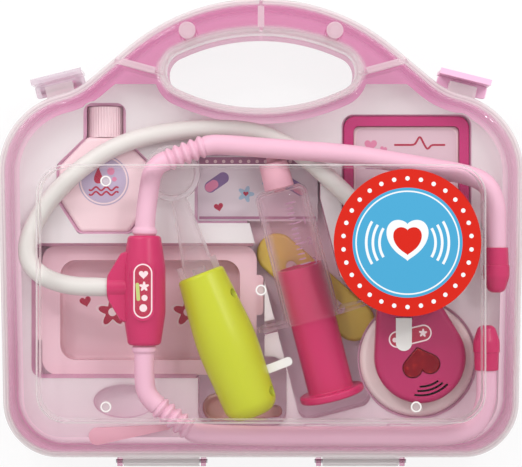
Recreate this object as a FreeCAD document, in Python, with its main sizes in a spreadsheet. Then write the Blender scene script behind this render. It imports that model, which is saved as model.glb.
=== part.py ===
import FreeCAD, Part
import math
import os
from FreeCAD import Placement, Rotation, Vector

# Toy doctor case, lying on its back: X to the right, Y towards the carry handle, Z out of the front.
# The origin is under the middle of the case. All sizes are millimetres and degrees.

driving = {
    # case outline, seen from the front
    "apex_y": 148.6, "apex_round": 102.8, "neck_x": 92.2, "neck_y": 71.3, "neck_round": 35,
    "shoulder_x": 131.5, "shoulder_y": 61.5, "shoulder_round": 40, "base_x": 128, "base_y": -111.6,
    "base_round": 28,
    # hand opening
    "hand_y": 81.1, "hand_half_width": 47.2, "hand_half_depth": 18.4, "hand_round": 97, "hand_slope": 25,
    # rear shell and front cover
    "parting_level": 30, "parting_gap": 0.2, "rear_wall": 2, "rear_round": 7, "cover_wall": 1.6,
    "cover_level": 46, "cover_round": 6.5, "panel_level": 56, "panel_half_width": 110.5, "panel_top": 34,
    "panel_bottom": -93.2, "panel_corner": 15, "panel_round": 2,
    "lip_inset": 1.1, "lip_height": 3, "lip_gap": 0.3, "rebate_width": 4,
    "rib_wall": 1.6, "peg_x": 36.7, "peg_y": 101, "peg_radius": 3, "socket_radius": 4.5, "socket_gap": 0.4,
    "dimple_x": 76, "dimple_top": 25.7, "dimple_bottom": -84.9, "dimple_middle": -27.7, "dimple_radius": 2.75,
    "dimple_depth": 0.8,
    # hinge along the lower edge
    "hinge_y": -114.6, "knuckle_radius": 2.6, "pin_radius": 1, "pin_grip": 0.02, "pin_play": 0.07,
    "ear_inner_x": 29, "ear_outer_x": 71, "ear_width": 2.5, "knuckle_side_gap": 0.75,
    # swing latches on the two shoulders
    "latch_x": 100, "latch_slope": 14, "latch_width": 26, "latch_pivot_out": 4.6, "latch_pivot_level": 23.5,
    "latch_plate_out": 7.8, "latch_plate": 1.8, "latch_top": 40.2, "latch_lip": 2.8, "latch_lip_depth": 2.2,
    "latch_ear": 2, "lug_width": 16, "catch_width": 14, "catch_top": 37, "catch_out": 5.6,
    # formed insert tray
    "tray_level": 22, "tray_sheet": 0.8, "tray_inset": 8, "pocket_level": 2.8, "pocket_play": 1,
    # stethoscope
    "arm_level": 37.5, "arm_radius": 5, "arm_bore": 3.2, "rib_count": 5, "rib_pitch": 4.1, "rib_start": 8.2,
    "rib_radius": 5.7, "rib_valley": 4.1, "rib_inside": 3.8, "socket_play": 0.05,
    "hose_radius": 4.7, "hose_level": 26.8, "yoke_x": -58.3, "yoke_top": -1, "yoke_bottom": -55.8,
    "yoke_radius": 10.6, "yoke_end_radius": 8.2, "yoke_socket": 7, "stub_x": -76.6, "stub_y": -26.8,
    "stub_radius": 6, "stub_socket": 8,
    "tip_radius": 6.6, "tip_collar": 5.9, "tip_socket": 5, "tip_length": 22.5,
    "upper_tip_x": 117.6, "upper_tip_y": -7, "lower_tip_x": 112.7, "lower_tip_y": -68.3,
    "lower_arm_y": -101.4,
    "chest_x": 79.5, "chest_y": -63.9, "chest_radius": 29.3, "chest_low": 9, "chest_rim": 23,
    "chest_top": 32.5, "chest_cavity": 20.5, "chest_floor": 2, "drop_x": 80.3, "drop_y": -62.6,
    "drop_radius": 23, "drop_end_x": 71.5, "drop_end_y": -28, "drop_end_radius": 12.5, "drop_wall": 1.8,
    "drop_round": 3, "stem_end_x": 67, "stem_end_y": -10.5, "stem_level": 26.8, "stem_radius": 5.8,
    "stem_socket": 9, "boss_reach": 15.4, "boss_radius": 3.5, "screw_radius": 1.2, "screw_head": 2.5,
    "door_radius": 10.8, "door_depth": 1.15, "board_radius": 18, "board_level": 20, "board_depth": 1.2,
    "heart_x": 80.6, "heart_y": -66.6, "heart_spread": 4.5, "heart_lobe": 4.8, "heart_tip": 9.4,
    "heart_level": 33.2, "heart_flange": 1.2, "heart_gap": 0.4, "heart_low": 28.6,
    "cell_radius": 5.8, "cell_depth": 5.4, "tab_left": 67.8, "tab_width": 8, "tab_high": -42.5,
    "tab_low": -59, "tab_film": 0.3,
    # syringe
    "syringe_x": 9.3, "syringe_y": 23, "syringe_level": 26.6, "barrel_length": 68, "barrel_radius": 13.4,
    "barrel_spread": 0.8, "barrel_wall": 1.3, "flange_half_width": 28.5, "flange_half_depth": 12,
    "flange_depth": 2.5, "plunger_radius": 11.7, "plunger_start": 41, "plunger_end": 110,
    "plunger_disc": 16.6, "plunger_wall": 1.6,
    "nozzle_radius": 7.2, "nozzle_step": 13.5, "nozzle_length": 19, "nozzle_tip": 3,
    # light scope
    "scope_x": -3, "scope_y": -92, "scope_level": 29.9, "scope_length": 77, "scope_radius": 15.6,
    "scope_low_radius": 13.2, "scope_high_radius": 12, "scope_wall": 2, "scope_widest": 40,
    "plug_radius": 8.5, "head_radius": 10.5, "switch_along": 45, "switch_radius": 4, "switch_lift": 1.6,
    "scope_tab_length": 17, "scope_tab_width": 4.4,
    "lens_x": -44.9, "lens_y": 30.4, "lens_level": 28, "lens_radius": 14.2, "lens_depth": 5.6,
    # toys that lie in the tray
    "bottle_x": -79.5, "bottle_low": 0.8, "bottle_high": 49, "bottle_half_width": 23.5, "bottle_depth": 18.6,
    "bottle_wall": 1.5, "neck_radius": 7, "cap_radius": 9.4, "cap_length": 15.5, "cap_ribs": 40,
    "label_y": 27, "label_radius": 12.8, "label_film": 0.15,
    "box_x": -1.8, "box_y": 23.3, "box_length": 62, "box_width": 34, "box_depth": 7.5, "box_card": 0.6,
    "dish_x": -57.2, "dish_y": -39.2, "dish_length": 110, "dish_width": 66.6, "dish_depth": 11.2,
    "dish_wall": 1.2, "chart_left": 42, "chart_low": 0.7, "chart_width": 64, "chart_length": 59,
    "chart_depth": 4.5, "chart_border": 5, "chart_floor": 1.2, "chart_paper": 0.4,
    "stick_x": 28.3, "stick_y": -27.8, "stick_slope": -41, "stick_length": 74, "stick_width": 21,
    "stick_depth": 5.2,
    # printed round sticker
    "sticker_x": 71.7, "sticker_y": -4.5, "sticker_radius": 36.1, "sticker_film": 0.2,
}

doc = FreeCAD.newDocument("toy_doctor_case")
sheet = doc.addObject("Spreadsheet::Sheet", "sizes")
for row, (alias, value) in enumerate(driving.items(), start=1):
    sheet.set("A%d" % row, alias)
    sheet.set("B%d" % row, str(value))
    sheet.setAlias("B%d" % row, alias)
doc.recompute()
pieces = []


def size(alias):
    return float(sheet.get(alias))


def ship(piece, label):
    piece.Label = label
    pieces.append(piece)
    return piece


# Outlines: a corner is (x, y, radius), and corners run clockwise


def rounded(corners, closed=True):
    """Lines and tangent arcs through the corners."""
    points = [Vector(x, y, 0) for x, y, radius in corners]
    count = len(points)
    stops = []
    for index, (point, corner) in enumerate(zip(points, corners)):
        inside = closed or 0 < index < count - 1
        if corner[2] <= 0 or not inside:
            stops.append((point, None, point))
            continue
        back = (points[index - 1] - point).normalize()
        ahead = (points[(index + 1) % count] - point).normalize()
        turn = math.pi - back.getAngle(ahead)
        reach = corner[2] * math.tan(turn / 2)
        middle = (back + ahead).normalize() * (corner[2] / math.cos(turn / 2) - corner[2])
        stops.append((point + back * reach, point + middle, point + ahead * reach))
    shape = []
    for index, (start, middle, end) in enumerate(stops):
        if middle is not None:
            shape.append(Part.Arc(start, middle, end))
        if index == count - 1 and not closed:
            break
        following = stops[(index + 1) % count][0]
        if (following - end).Length > 1e-6:
            shape.append(Part.LineSegment(end, following))
    return shape


def inset_corners(corners, inset):
    """The same outline drawn in by inset: outer corners tighten and inner corners open."""
    count = len(corners)
    result = []
    for index, (x, y, radius) in enumerate(corners):
        here = Vector(x, y, 0)
        before = Vector(corners[index - 1][0], corners[index - 1][1], 0)
        after = Vector(corners[(index + 1) % count][0], corners[(index + 1) % count][1], 0)
        run_in = (here - before).normalize()
        run_out = (after - here).normalize()
        turn = run_in.getAngle(run_out)
        outer = run_in.cross(run_out).z < 0
        outward = Vector(run_in.y + run_out.y, -run_in.x - run_out.x, 0).normalize()
        shift = outward * (inset / math.cos(turn / 2))
        moved = here + shift
        result.append((moved.x, moved.y, max(radius - inset if outer else radius + inset, 0)))
    return result


def mirrored(half):
    return half + [(-x, y, radius) for x, y, radius in reversed(half)]


def rectangle(left, low, right, high, radius):
    return [(left, high, radius), (right, high, radius), (right, low, radius), (left, low, radius)]


def turned_rectangle(x, y, length, width, angle, radius):
    """A rectangle about x, y whose long side lies at angle to X."""
    spin = Rotation(Vector(0, 0, 1), angle)
    result = []
    for corner_x, corner_y, corner_radius in rectangle(-length / 2, -width / 2, length / 2, width / 2, radius):
        corner = spin.multVec(Vector(corner_x, corner_y, 0)) + Vector(x, y, 0)
        result.append((corner.x, corner.y, corner_radius))
    return result


def circle(x, y, radius):
    return [Part.Circle(Vector(x, y, 0), Vector(0, 0, 1), radius)]


def ellipse(x, y, half_width, half_depth):
    return [Part.Ellipse(Vector(x, y, 0), half_width, half_depth)]


def belt(x1, y1, radius1, x2, y2, radius2):
    """Two circles and the straight lines that touch both."""
    along = Vector(x2 - x1, y2 - y1, 0)
    distance = along.Length
    along.normalize()
    aside = Vector(-along.y, along.x, 0)
    lean = (radius1 - radius2) / distance
    spread = math.sqrt(1 - lean * lean)
    first, second = Vector(x1, y1, 0), Vector(x2, y2, 0)
    left = along * lean + aside * spread
    right = along * lean - aside * spread
    return [
        Part.Arc(first + left * radius1, first - along * radius1, first + right * radius1),
        Part.LineSegment(first + right * radius1, second + right * radius2),
        Part.Arc(second + right * radius2, second + along * radius2, second + left * radius2),
        Part.LineSegment(second + left * radius2, first + left * radius1),
    ]


# Building blocks


def add_sketch(body, role, shape, offset="0"):
    sketch = body.newObject("Sketcher::SketchObject", body.Name + "_sketch")
    plane = next(feature for feature in body.Origin.OriginFeatures if feature.Role == role)
    sketch.AttachmentSupport = [(plane, "")]
    sketch.MapMode = "FlatFace"
    sketch.setExpression("AttachmentOffset.Base.z", offset)
    sketch.addGeometry(shape, False)
    return sketch


def add_pad(body, shape, low, height, draft=None, down=False):
    pad = body.newObject("PartDesign::Pad", body.Name + "_pad")
    pad.Profile = add_sketch(body, "XY_Plane", shape, low)
    pad.setExpression("Length", height)
    pad.Reversed = down
    if draft:
        pad.setExpression("TaperAngle", "-" + draft)
    return pad


def slab(name, shape, low, height, draft=None, down=False, place=None):
    """A flat outline raised from low by height."""
    body = doc.addObject("PartDesign::Body", name)
    add_pad(body, shape, low, height, draft, down)
    if place:
        body.Placement = place
    return body


def add_hole(body, shape, low):
    pocket = body.newObject("PartDesign::Pocket", body.Name + "_pocket")
    pocket.Profile = add_sketch(body, "XY_Plane", shape, low)
    pocket.Type = "ThroughAll"
    pocket.Midplane = True


def round_rim(body, level, radius):
    """Rounds every edge that lies flat at a level of the body."""
    doc.recompute()
    names = []
    for index, edge in enumerate(body.Tip.Shape.Edges, start=1):
        if all(abs(point.z - level) < 1e-4 for point in edge.discretize(5)):
            names.append("Edge%d" % index)
    base = body.Tip
    fillet = body.newObject("PartDesign::Fillet", body.Name + "_rim")
    fillet.Base = (base, names)
    fillet.setExpression("Radius", radius)


def turned(name, corners, place=None):
    """A profile of radius and height, turned about Z."""
    body = doc.addObject("PartDesign::Body", name)
    sketch = add_sketch(body, "XZ_Plane", rounded(corners))
    spin = body.newObject("PartDesign::Revolution", name + "_spin")
    spin.Profile = sketch
    spin.ReferenceAxis = (sketch, ["V_Axis"])
    spin.Angle = 360
    if place:
        body.Placement = place
    return body


def rod(name, radius, length, place):
    cylinder = doc.addObject("Part::Cylinder", name)
    cylinder.setExpression("Radius", radius)
    cylinder.setExpression("Height", length)
    cylinder.Placement = place
    return cylinder


def block(name, length, width, height, place):
    box = doc.addObject("Part::Box", name)
    box.setExpression("Length", length)
    box.setExpression("Width", width)
    box.setExpression("Height", height)
    box.Placement = place
    return box


def fuse(name, *shapes):
    joined = doc.addObject("Part::MultiFuse", name)
    joined.Shapes = list(shapes)
    return joined


def cut(name, base, *tools):
    carved = doc.addObject("Part::Cut", name)
    carved.Base = base
    carved.Tool = tools[0] if len(tools) == 1 else fuse(name + "_tools", *tools)
    return carved


def common(name, first, second):
    shared = doc.addObject("Part::Common", name)
    shared.Base = first
    shared.Tool = second
    return shared


def at(x, y, z, axis=Vector(0, 0, 1), angle=0):
    return Placement(Vector(x, y, z), Rotation(axis, angle))


def aimed(start, towards):
    """A placement whose own Z points from start towards another point."""
    return Placement(start, Rotation(Vector(0, 0, 1), towards - start))


def along_x(x, y, z):
    return at(x, y, z, Vector(0, 1, 0), 90)


def along_y(x, y, z, back=False):
    """Own Z runs along Y, or against it when back is set."""
    return at(x, y, z, Vector(1, 0, 0), 90 if back else -90)


# Case


def case_corners(inset=0):
    half = [
        (size("neck_x"), size("neck_y"), size("neck_round")),
        (size("shoulder_x"), size("shoulder_y"), size("shoulder_round")),
        (size("base_x"), size("base_y"), size("base_round")),
    ]
    return inset_corners([(0, size("apex_y"), size("apex_round"))] + mirrored(half), inset)


def hand_opening(grow):
    """An oval of four arcs: flat above and below, tight at the ends."""
    half_width, half_depth = size("hand_half_width"), size("hand_half_depth")
    slope = math.radians(size("hand_slope"))
    flat_round = size("hand_round")
    corner_y = half_depth + flat_round * (1 / math.cos(slope) - 1)
    corner_x = corner_y / math.tan(slope)
    end_round = (corner_x - half_width) / (1 / math.sin(slope) - 1)
    middle = size("hand_y")
    corners = [(0, middle + corner_y, flat_round), (corner_x, middle, end_round),
               (0, middle - corner_y, flat_round), (-corner_x, middle, end_round)]
    return rounded(inset_corners(corners, -grow))


def panel_corners(inset):
    half_width = size("panel_half_width")
    corners = rectangle(-half_width, size("panel_bottom"), half_width, size("panel_top"), size("panel_corner"))
    return inset_corners(corners, inset)


def latch_place(side):
    """Own X along the shoulder, own Y out of it, at the level of the table."""
    slope = math.tan(math.radians(size("latch_slope")))
    out_y = size("neck_y") - (size("latch_x") - size("neck_x")) * slope
    return at(side * size("latch_x"), out_y, 0, Vector(0, 0, 1), -side * size("latch_slope"))


def in_latch(side, x, y, z):
    return latch_place(side).multiply(at(x, y, z))


def latch_pivot(side, half_length):
    place = in_latch(side, -half_length, size("latch_pivot_out"), size("latch_pivot_level"))
    return place.multiply(along_x(0, 0, 0))


def handle_ribs(name, low, height):
    """Cross ribs in the hollow handle: one in the middle and one at each foot."""
    ribs = [block(name + "_middle", "sizes.rib_wall", "16.4", height,
                  at(-size("rib_wall") / 2, size("hand_y") + size("hand_half_depth") + 0.6, low))]
    for side in (-1, 1):
        place = at(side * 60.5, 82.7, low, Vector(0, 0, 1), side * 15.3)
        foot = place.multiply(at(-12.4, -size("rib_wall") / 2, 0))
        ribs.append(block(name + "_foot", "24.8", "sizes.rib_wall", height, foot))
    return ribs


def rear_shell():
    wall = size("rear_wall")
    outer = slab("rear_outer", rounded(case_corners()), "sizes.parting_level", "sizes.parting_level", down=True)
    add_hole(outer, hand_opening(0), "sizes.parting_level")
    round_rim(outer, 0, "sizes.rear_round")
    inner = slab("rear_inner", rounded(case_corners(wall)), "sizes.parting_level",
                 "sizes.parting_level - sizes.rear_wall", down=True)
    add_hole(inner, hand_opening(wall), "sizes.parting_level")
    round_rim(inner, wall, "sizes.rear_round - sizes.rear_wall")
    lip = slab("lip_outer", rounded(case_corners(size("lip_inset"))),
               "sizes.parting_level - 5", "sizes.lip_height + 5")
    add_hole(lip, hand_opening(wall / 2), "sizes.parting_level")
    mouth = slab("lip_inner", rounded(case_corners(wall)), "sizes.parting_level", "sizes.lip_height + 1")
    hollow = cut("rear_hollow", fuse("rear_blank", outer, lip), fuse("rear_cavity", inner, mouth))
    solids = [hollow] + handle_ribs("rear_rib", 1, "sizes.parting_level - 2")
    bores = []
    axis_level = size("parting_level")
    for side in (-1, 1):
        for ear_x in (size("ear_inner_x"), size("ear_outer_x")):
            left = side * ear_x - size("ear_width") / 2
            solids.append(rod("ear_eye", "sizes.knuckle_radius", "sizes.ear_width",
                              along_x(left, size("hinge_y"), axis_level)))
            solids.append(block("ear_web", "sizes.ear_width", "6", "8",
                                at(left, size("hinge_y") - 2, axis_level - 8)))
        reach = size("ear_outer_x") + 2
        bores.append(rod("ear_bore", "sizes.pin_radius + sizes.pin_grip",
                         "sizes.ear_outer_x - sizes.ear_inner_x + 6",
                         along_x(side * (size("ear_inner_x") + reach) / 2 - 24, size("hinge_y"), axis_level)))
        solids.append(block("latch_lug", "sizes.lug_width", "6.2", "5.5",
                            in_latch(side, -size("lug_width") / 2, -1.6, size("latch_pivot_level") - 1)))
        solids.append(rod("latch_eye", "sizes.knuckle_radius", "sizes.lug_width",
                          latch_pivot(side, size("lug_width") / 2)))
        bores.append(rod("lug_bore", "sizes.pin_radius + sizes.pin_grip", "sizes.lug_width + 2",
                         latch_pivot(side, size("lug_width") / 2 + 1)))
        peg = at(side * size("peg_x"), size("peg_y"), 1)
        solids.append(rod("peg_socket", "sizes.socket_radius", "sizes.parting_level - 2", peg))
        bores.append(rod("peg_bore", "sizes.peg_radius + sizes.socket_gap", "sizes.parting_level",
                         at(side * size("peg_x"), size("peg_y"), size("rear_wall"))))
    ship(cut("rear_case", fuse("rear_solids", *solids), *bores), "rear_shell")


def front_cover():
    wall = size("cover_wall")
    low = "sizes.parting_level + sizes.parting_gap"
    outer = slab("cover_outer", rounded(case_corners()), low,
                 "sizes.cover_level - " + low.replace(" + ", " - "))
    add_hole(outer, hand_opening(0), low)
    round_rim(outer, size("cover_level"), "sizes.cover_round")
    add_pad(outer, rounded(panel_corners(0)), "sizes.cover_level - 1",
            "sizes.panel_level - sizes.cover_level + 1")
    round_rim(outer, size("panel_level"), "sizes.panel_round")
    inner = slab("cover_inner", rounded(case_corners(wall)), low,
                 "sizes.cover_level - sizes.cover_wall - " + low.replace(" + ", " - "))
    add_hole(inner, hand_opening(wall), low)
    round_rim(inner, size("cover_level") - wall, "sizes.cover_round - sizes.cover_wall")
    add_pad(inner, rounded(panel_corners(wall)), "sizes.cover_level - sizes.cover_wall - 1",
            "sizes.panel_level - sizes.cover_level + 1")
    solids = [cut("cover_hollow", outer, inner)]
    solids += handle_ribs("cover_rib", size("parting_level") + 1,
                          "sizes.cover_level - sizes.parting_level - 1.8")
    rebate = size("lip_inset") - size("lip_gap")
    lip_room = "sizes.lip_height + sizes.lip_gap"
    rebate_shapes = [slab(name, rounded(case_corners(inset)), "sizes.parting_level", lip_room)
                     for name, inset in (("rebate_outer", rebate), ("rebate_inner", size("rebate_width")))]
    bores = [cut("rim_rebate", *rebate_shapes)]
    first_low = size("parting_level") + size("parting_gap")
    for side in (-1, 1):
        start = size("ear_inner_x") + size("ear_width") / 2 + size("knuckle_side_gap")
        end = size("ear_outer_x") - size("ear_width") / 2 - size("knuckle_side_gap")
        left = min(side * start, side * end)
        solids.append(rod("knuckle", "sizes.knuckle_radius", str(end - start),
                          along_x(left, size("hinge_y"), size("parting_level"))))
        web_place = at(left, size("hinge_y") - 1.2, first_low)
        solids.append(block("knuckle_web", str(end - start), "5", "6", web_place))
        bores.append(rod("knuckle_bore", "sizes.pin_radius + sizes.pin_play", str(end - start + 2),
                         along_x(left - 1, size("hinge_y"), size("parting_level"))))
        solids.append(block("latch_catch", "sizes.catch_width", "sizes.catch_out + 0.8",
                            "sizes.catch_top - sizes.parting_level - 0.3",
                            in_latch(side, -size("catch_width") / 2, -0.8, first_low + 0.1)))
        solids.append(rod("handle_peg", "sizes.peg_radius", "sizes.cover_level - sizes.parting_level + 3",
                          at(side * size("peg_x"), size("peg_y"), size("parting_level") - 4)))
        for dimple_y in (size("dimple_top"), size("dimple_bottom")):
            bores.append(dimple(side * size("dimple_x"), dimple_y))
    bores.append(dimple(0, size("dimple_middle")))
    ship(cut("front_case", fuse("cover_solids", *solids), *bores), "front_cover")


def dimple(x, y):
    """A shallow ring sunk in the panel round a gate mark."""
    low = size("panel_level") - size("dimple_depth")
    return cut("dimple_ring", rod("dimple", "sizes.dimple_radius", "sizes.dimple_depth + 1", at(x, y, low)),
               rod("dimple_mark", "sizes.dimple_radius * 0.5", "sizes.dimple_depth + 1", at(x, y, low)))


def hinge_pins():
    pins = []
    for side in (-1, 1):
        middle = side * (size("ear_inner_x") + size("ear_outer_x")) / 2
        pins.append(rod("hinge_pin", "sizes.pin_radius", "46", along_x(middle - 23, size("hinge_y"), 30)))
    ship(fuse("hinge_wires", *pins), "hinge_pins")
    wires = [rod("latch_pin", "sizes.pin_radius", "21", latch_pivot(side, 10.5)) for side in (-1, 1)]
    ship(fuse("latch_wires", *wires), "latch_pins")


def latch(side, label):
    """A swinging clip: a grip plate with a finger lip along its top and two eyes on the pin."""
    half = size("latch_width") / 2
    plate_out = size("latch_plate_out")
    pivot_level = size("latch_pivot_level")
    plate = block("clip_plate", "sizes.latch_width", "sizes.latch_plate",
                  "sizes.latch_top - sizes.latch_pivot_level + 0.5",
                  in_latch(side, -half, plate_out, pivot_level - 0.5))
    lip = block("clip_lip", "sizes.latch_width", "sizes.latch_lip", "sizes.latch_lip_depth",
                in_latch(side, -half, plate_out, size("latch_top") - size("latch_lip_depth")))
    solids = [plate, lip]
    bores = []
    for end in (-1, 1):
        inner = size("lug_width") / 2 + 0.4
        left = min(end * inner, end * (inner + size("latch_ear")))
        place = in_latch(side, left, size("latch_pivot_out"), pivot_level)
        eye_place = place.multiply(along_x(0, 0, 0))
        solids.append(rod("clip_eye", "sizes.knuckle_radius", "sizes.latch_ear", eye_place))
        solids.append(block("clip_arm", "sizes.latch_ear", "4.2", "5",
                            place.multiply(at(0, 0, -0.5))))
        bores.append(rod("clip_bore", "sizes.pin_radius + sizes.pin_play", "sizes.latch_ear + 2",
                         place.multiply(along_x(-1, 0, 0))))
    for groove in range(3):
        bores.append(block("clip_groove", "sizes.latch_width - 6", "1", "1.2",
                           in_latch(side, 3 - half, plate_out + size("latch_plate") - 0.5,
                                    pivot_level + 6 + 3 * groove)))
    ship(cut("clip", fuse("clip_solids", *solids), *bores), label)


def front_sticker():
    film = slab("sticker_disc", circle(size("sticker_x"), size("sticker_y"), size("sticker_radius")),
                "sizes.panel_level", "sizes.sticker_film")
    ship(film, "front_sticker")


# Toys: shared places


def syringe_start():
    return Vector(size("syringe_x"), size("syringe_y"), size("syringe_level"))


def syringe_far():
    return syringe_start() + Vector(27.2, -105.7, -6.7)


def syringe_place(distance=0):
    place = aimed(syringe_start(), syringe_far())
    return place.multiply(at(0, 0, distance))


def scope_low():
    return Vector(size("scope_x"), size("scope_y"), size("scope_level"))


def scope_place(distance=0):
    """Own Z up the handle, own X across it and own Y towards the table."""
    across = Vector(0.9334, 0.3588, 0)
    upward = Vector(-0.3588, 0.9334, 0)
    turn = Rotation(across, Vector(0, 0, -1), upward, "ZXY")
    return Placement(scope_low(), turn).multiply(at(0, 0, distance))


def bottle_outline(grow):
    half = size("bottle_half_width") + grow
    low, high = size("bottle_low") - grow, size("bottle_high") + grow
    right = [(9, high, 3), (half, high - 15, 4), (half, low + 17, 4), (half - 11, low, 3)]
    left = [(-x, y, radius) for x, y, radius in reversed(right)]
    return [(x + size("bottle_x"), y, radius) for x, y, radius in left + right]


# Insert tray


def clockwise(corners):
    area = sum(a[0] * b[1] - b[0] * a[1] for a, b in zip(corners, corners[1:] + corners[:1]))
    return corners if area < 0 else list(reversed(corners))


def tray_pockets():
    """Outline corners and floor level of each pocket pressed into the sheet."""
    play = size("pocket_play")
    floor = size("pocket_level")
    cap_left, cap_right = size("bottle_x") - 10.8, size("bottle_x") + 10.8
    dish_right = size("dish_x") + size("dish_length") / 2
    dish_low = size("dish_y") - size("dish_width") / 2
    middle = syringe_place(57.5).Base
    way = syringe_far() - syringe_start()
    angle = math.degrees(math.atan2(way.y, way.x))
    flange = syringe_place(size("barrel_length") - 0.8).Base
    chart_left, chart_low = size("chart_left"), size("chart_low")
    return [
        (bottle_outline(play), floor),
        (rectangle(cap_left, size("bottle_high") - 8, cap_right, size("bottle_high") + 17.4, 5), floor),
        (turned_rectangle(size("box_x"), size("box_y"), size("box_length") + 2 * play,
                          size("box_width") + 2 * play, 0, 2), floor),
        (rectangle(size("dish_x") - size("dish_length") / 2 - 4.5, dish_low - play, dish_right + 4,
                   size("dish_y") + size("dish_width") / 2 + play, 6), floor),
        (rectangle(-32, -98.5, 13, dish_low + 10, 8), floor),
        (turned_rectangle(middle.x, middle.y, 121, 38, angle, 6), floor),
        (turned_rectangle(flange.x, flange.y, 60, 6.6, angle + 90, 2), size("pocket_level") + 6),
        (turned_rectangle(size("stick_x"), size("stick_y"), size("stick_length") + 4, size("stick_width") + 4,
                          size("stick_slope"), 12), floor),
        (rectangle(chart_left - play, chart_low - play, chart_left + size("chart_width") + play,
                   chart_low + size("chart_length") + 0.8, 6), size("tray_level") - 5),
    ]


def chest_pockets(grow):
    return [circle(size("chest_x"), size("chest_y"), size("chest_radius") + 1.2 + grow),
            rounded(inset_corners(clockwise(turned_rectangle(70.5, -25, 34, 28, 105, 4)), -grow))]


def insert_tray():
    sheet_level = "sizes.tray_level - sizes.tray_sheet"
    plate = slab("tray_plate", rounded(case_corners(size("tray_inset"))), sheet_level, "sizes.tray_sheet")
    trim = [slab("tray_trim", hand_opening(7), "sizes.tray_level - 2", "4"),
            block("tray_top_trim", "300", "60", "6", at(-150, 76, size("tray_level") - 3))]
    outers, inners = [cut("tray_flat", plate, *trim)], []
    thick = size("tray_sheet")
    for corners, floor in tray_pockets():
        corners = clockwise(corners)
        depth = size("tray_level") - floor
        outers.append(slab("pocket_outer", rounded(inset_corners(corners, -thick)), str(floor - thick),
                           str(depth + thick)))
        inners.append(slab("pocket_inner", rounded(corners), str(floor), str(depth + 1)))
    chest_floor = size("chest_low")
    for shape in chest_pockets(thick):
        depth = size("tray_level") - chest_floor
        outers.append(slab("chest_outer", shape, str(chest_floor - thick), str(depth + thick)))
    for shape in chest_pockets(0):
        inners.append(slab("chest_inner", shape, str(chest_floor), str(size("tray_level") - chest_floor + 1)))
    recess_x, recess_y, half_width, half_depth = -69.5, -85.3, 15.7, 8.6
    outers.append(slab("recess_outer", ellipse(recess_x, recess_y, half_width + thick, half_depth + thick),
                       "15 - sizes.tray_sheet", "7 + sizes.tray_sheet"))
    inners.append(slab("recess_inner", ellipse(recess_x, recess_y, half_width, half_depth), "15", "8"))
    saddles, notches = tray_saddles()
    formed = cut("tray_formed", fuse("tray_outers", *(outers + saddles)), *(inners + notches))
    ship(formed, "insert_tray")


def tray_saddles():
    """Hollow lands that hold the stethoscope arms above the flat of the sheet."""
    low_y = size("lower_arm_y") + 2.4
    spots = [(-12, 44.8, 8, 5), (117.4, 0, 9, 7), (28, low_y, 12, 6.4), (70, low_y, 12, 6.4)]
    saddles, notches = [], []
    for x, y, length, width in spots:
        low = size("tray_level") - size("tray_sheet")
        high = size("arm_level") - 2.5
        outer = turned_rectangle(x, y, length, width, 0, 1.5)
        saddles.append(slab("saddle", rounded(outer), str(low), str(high - low)))
        inner = turned_rectangle(x, y, length - 1.6, width - 1.6, 0, 0.7)
        hollow = str(high - size("arm_radius") - low)
        notches.append(slab("saddle_inner", rounded(inner), str(low - 1), hollow))
    groove = "sizes.arm_radius + sizes.socket_play"
    level = size("arm_level")
    knee, bend = [Vector(x, y, level) for x, y, radius in upper_route()[3:5]]
    notches.append(rod("saddle_groove", groove, "66", aimed(bend, knee)))
    notches.append(rod("saddle_groove", groove, "9", along_y(size("upper_tip_x"), -4.5, level)))
    notches.append(rod("saddle_groove", groove, "62", along_x(18, size("lower_arm_y"), level)))
    return saddles, notches


# Stethoscope


def upper_route():
    """Corners of the upper arm: up from the yoke, through the bellows, across and down the right side."""
    x, tip_x = size("yoke_x"), size("upper_tip_x")
    start, end = size("yoke_top") - size("yoke_socket"), size("upper_tip_y") - size("tip_socket")
    return [(x, start, 0), (x, 8, 40), (-54.5, 33.6, 14), (-25.5, 44.9, 10), (44, 39.6, 150),
            (tip_x, 26.4, 28), (tip_x, end, 0)]


def lower_route():
    x, tip_x, low = size("yoke_x"), size("lower_tip_x"), size("lower_arm_y")
    start, end = size("yoke_bottom") + size("yoke_socket"), size("lower_tip_y") + size("tip_socket")
    return [(x, start, 0), (x, -81.3, 16), (-33, -100.2, 8), (4, low, 60), (tip_x, low, 33), (tip_x, end, 0)]


def add_pipe(body, kind, route, radius):
    spine = add_sketch(body, "XY_Plane", rounded(route, closed=False), "sizes.arm_level")
    ring = circle(route[0][0], size("arm_level"), size(radius))
    pipe = body.newObject("PartDesign::" + kind, body.Name + "_pipe")
    pipe.Profile = add_sketch(body, "XZ_Plane", ring, str(-route[0][1]))
    pipe.Spine = spine


def bellows_profile():
    """Radius and height of the bellows: a narrow waist with one crest to each pitch."""
    valley, crest, pitch = size("rib_valley"), size("rib_radius"), size("rib_pitch")
    profile = [(size("rib_inside"), 0, 0)]
    for rib in range(int(size("rib_count"))):
        low = rib * pitch
        profile += [(valley, low, 0), (crest, low + 0.3 * pitch, 0.4), (crest, low + 0.7 * pitch, 0.4)]
    length = size("rib_count") * pitch
    return profile + [(valley, length, 0), (size("rib_inside"), length, 0)]


def arm(label, route, elbow_at):
    """A hollow soft tube with a bellows on the run after its elbow."""
    tube = doc.addObject("PartDesign::Body", label + "_tube")
    add_pipe(tube, "AdditivePipe", route, "arm_radius")
    add_pipe(tube, "SubtractivePipe", route, "arm_bore")
    elbow, knee = [Vector(x, y, size("arm_level")) for x, y, radius in route[elbow_at:elbow_at + 2]]
    place = aimed(elbow, knee).multiply(at(0, 0, size("rib_start")))
    length = size("rib_count") * size("rib_pitch")
    waist_ring = rectangle(size("rib_valley"), 0, size("rib_radius") + 2, length, 0)
    waist = turned(label + "_waist", waist_ring, place)
    ribs = turned(label + "_ribs", bellows_profile(), place)
    ship(fuse(label + "_whole", cut(label + "_necked", tube, waist), ribs), label)


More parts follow.
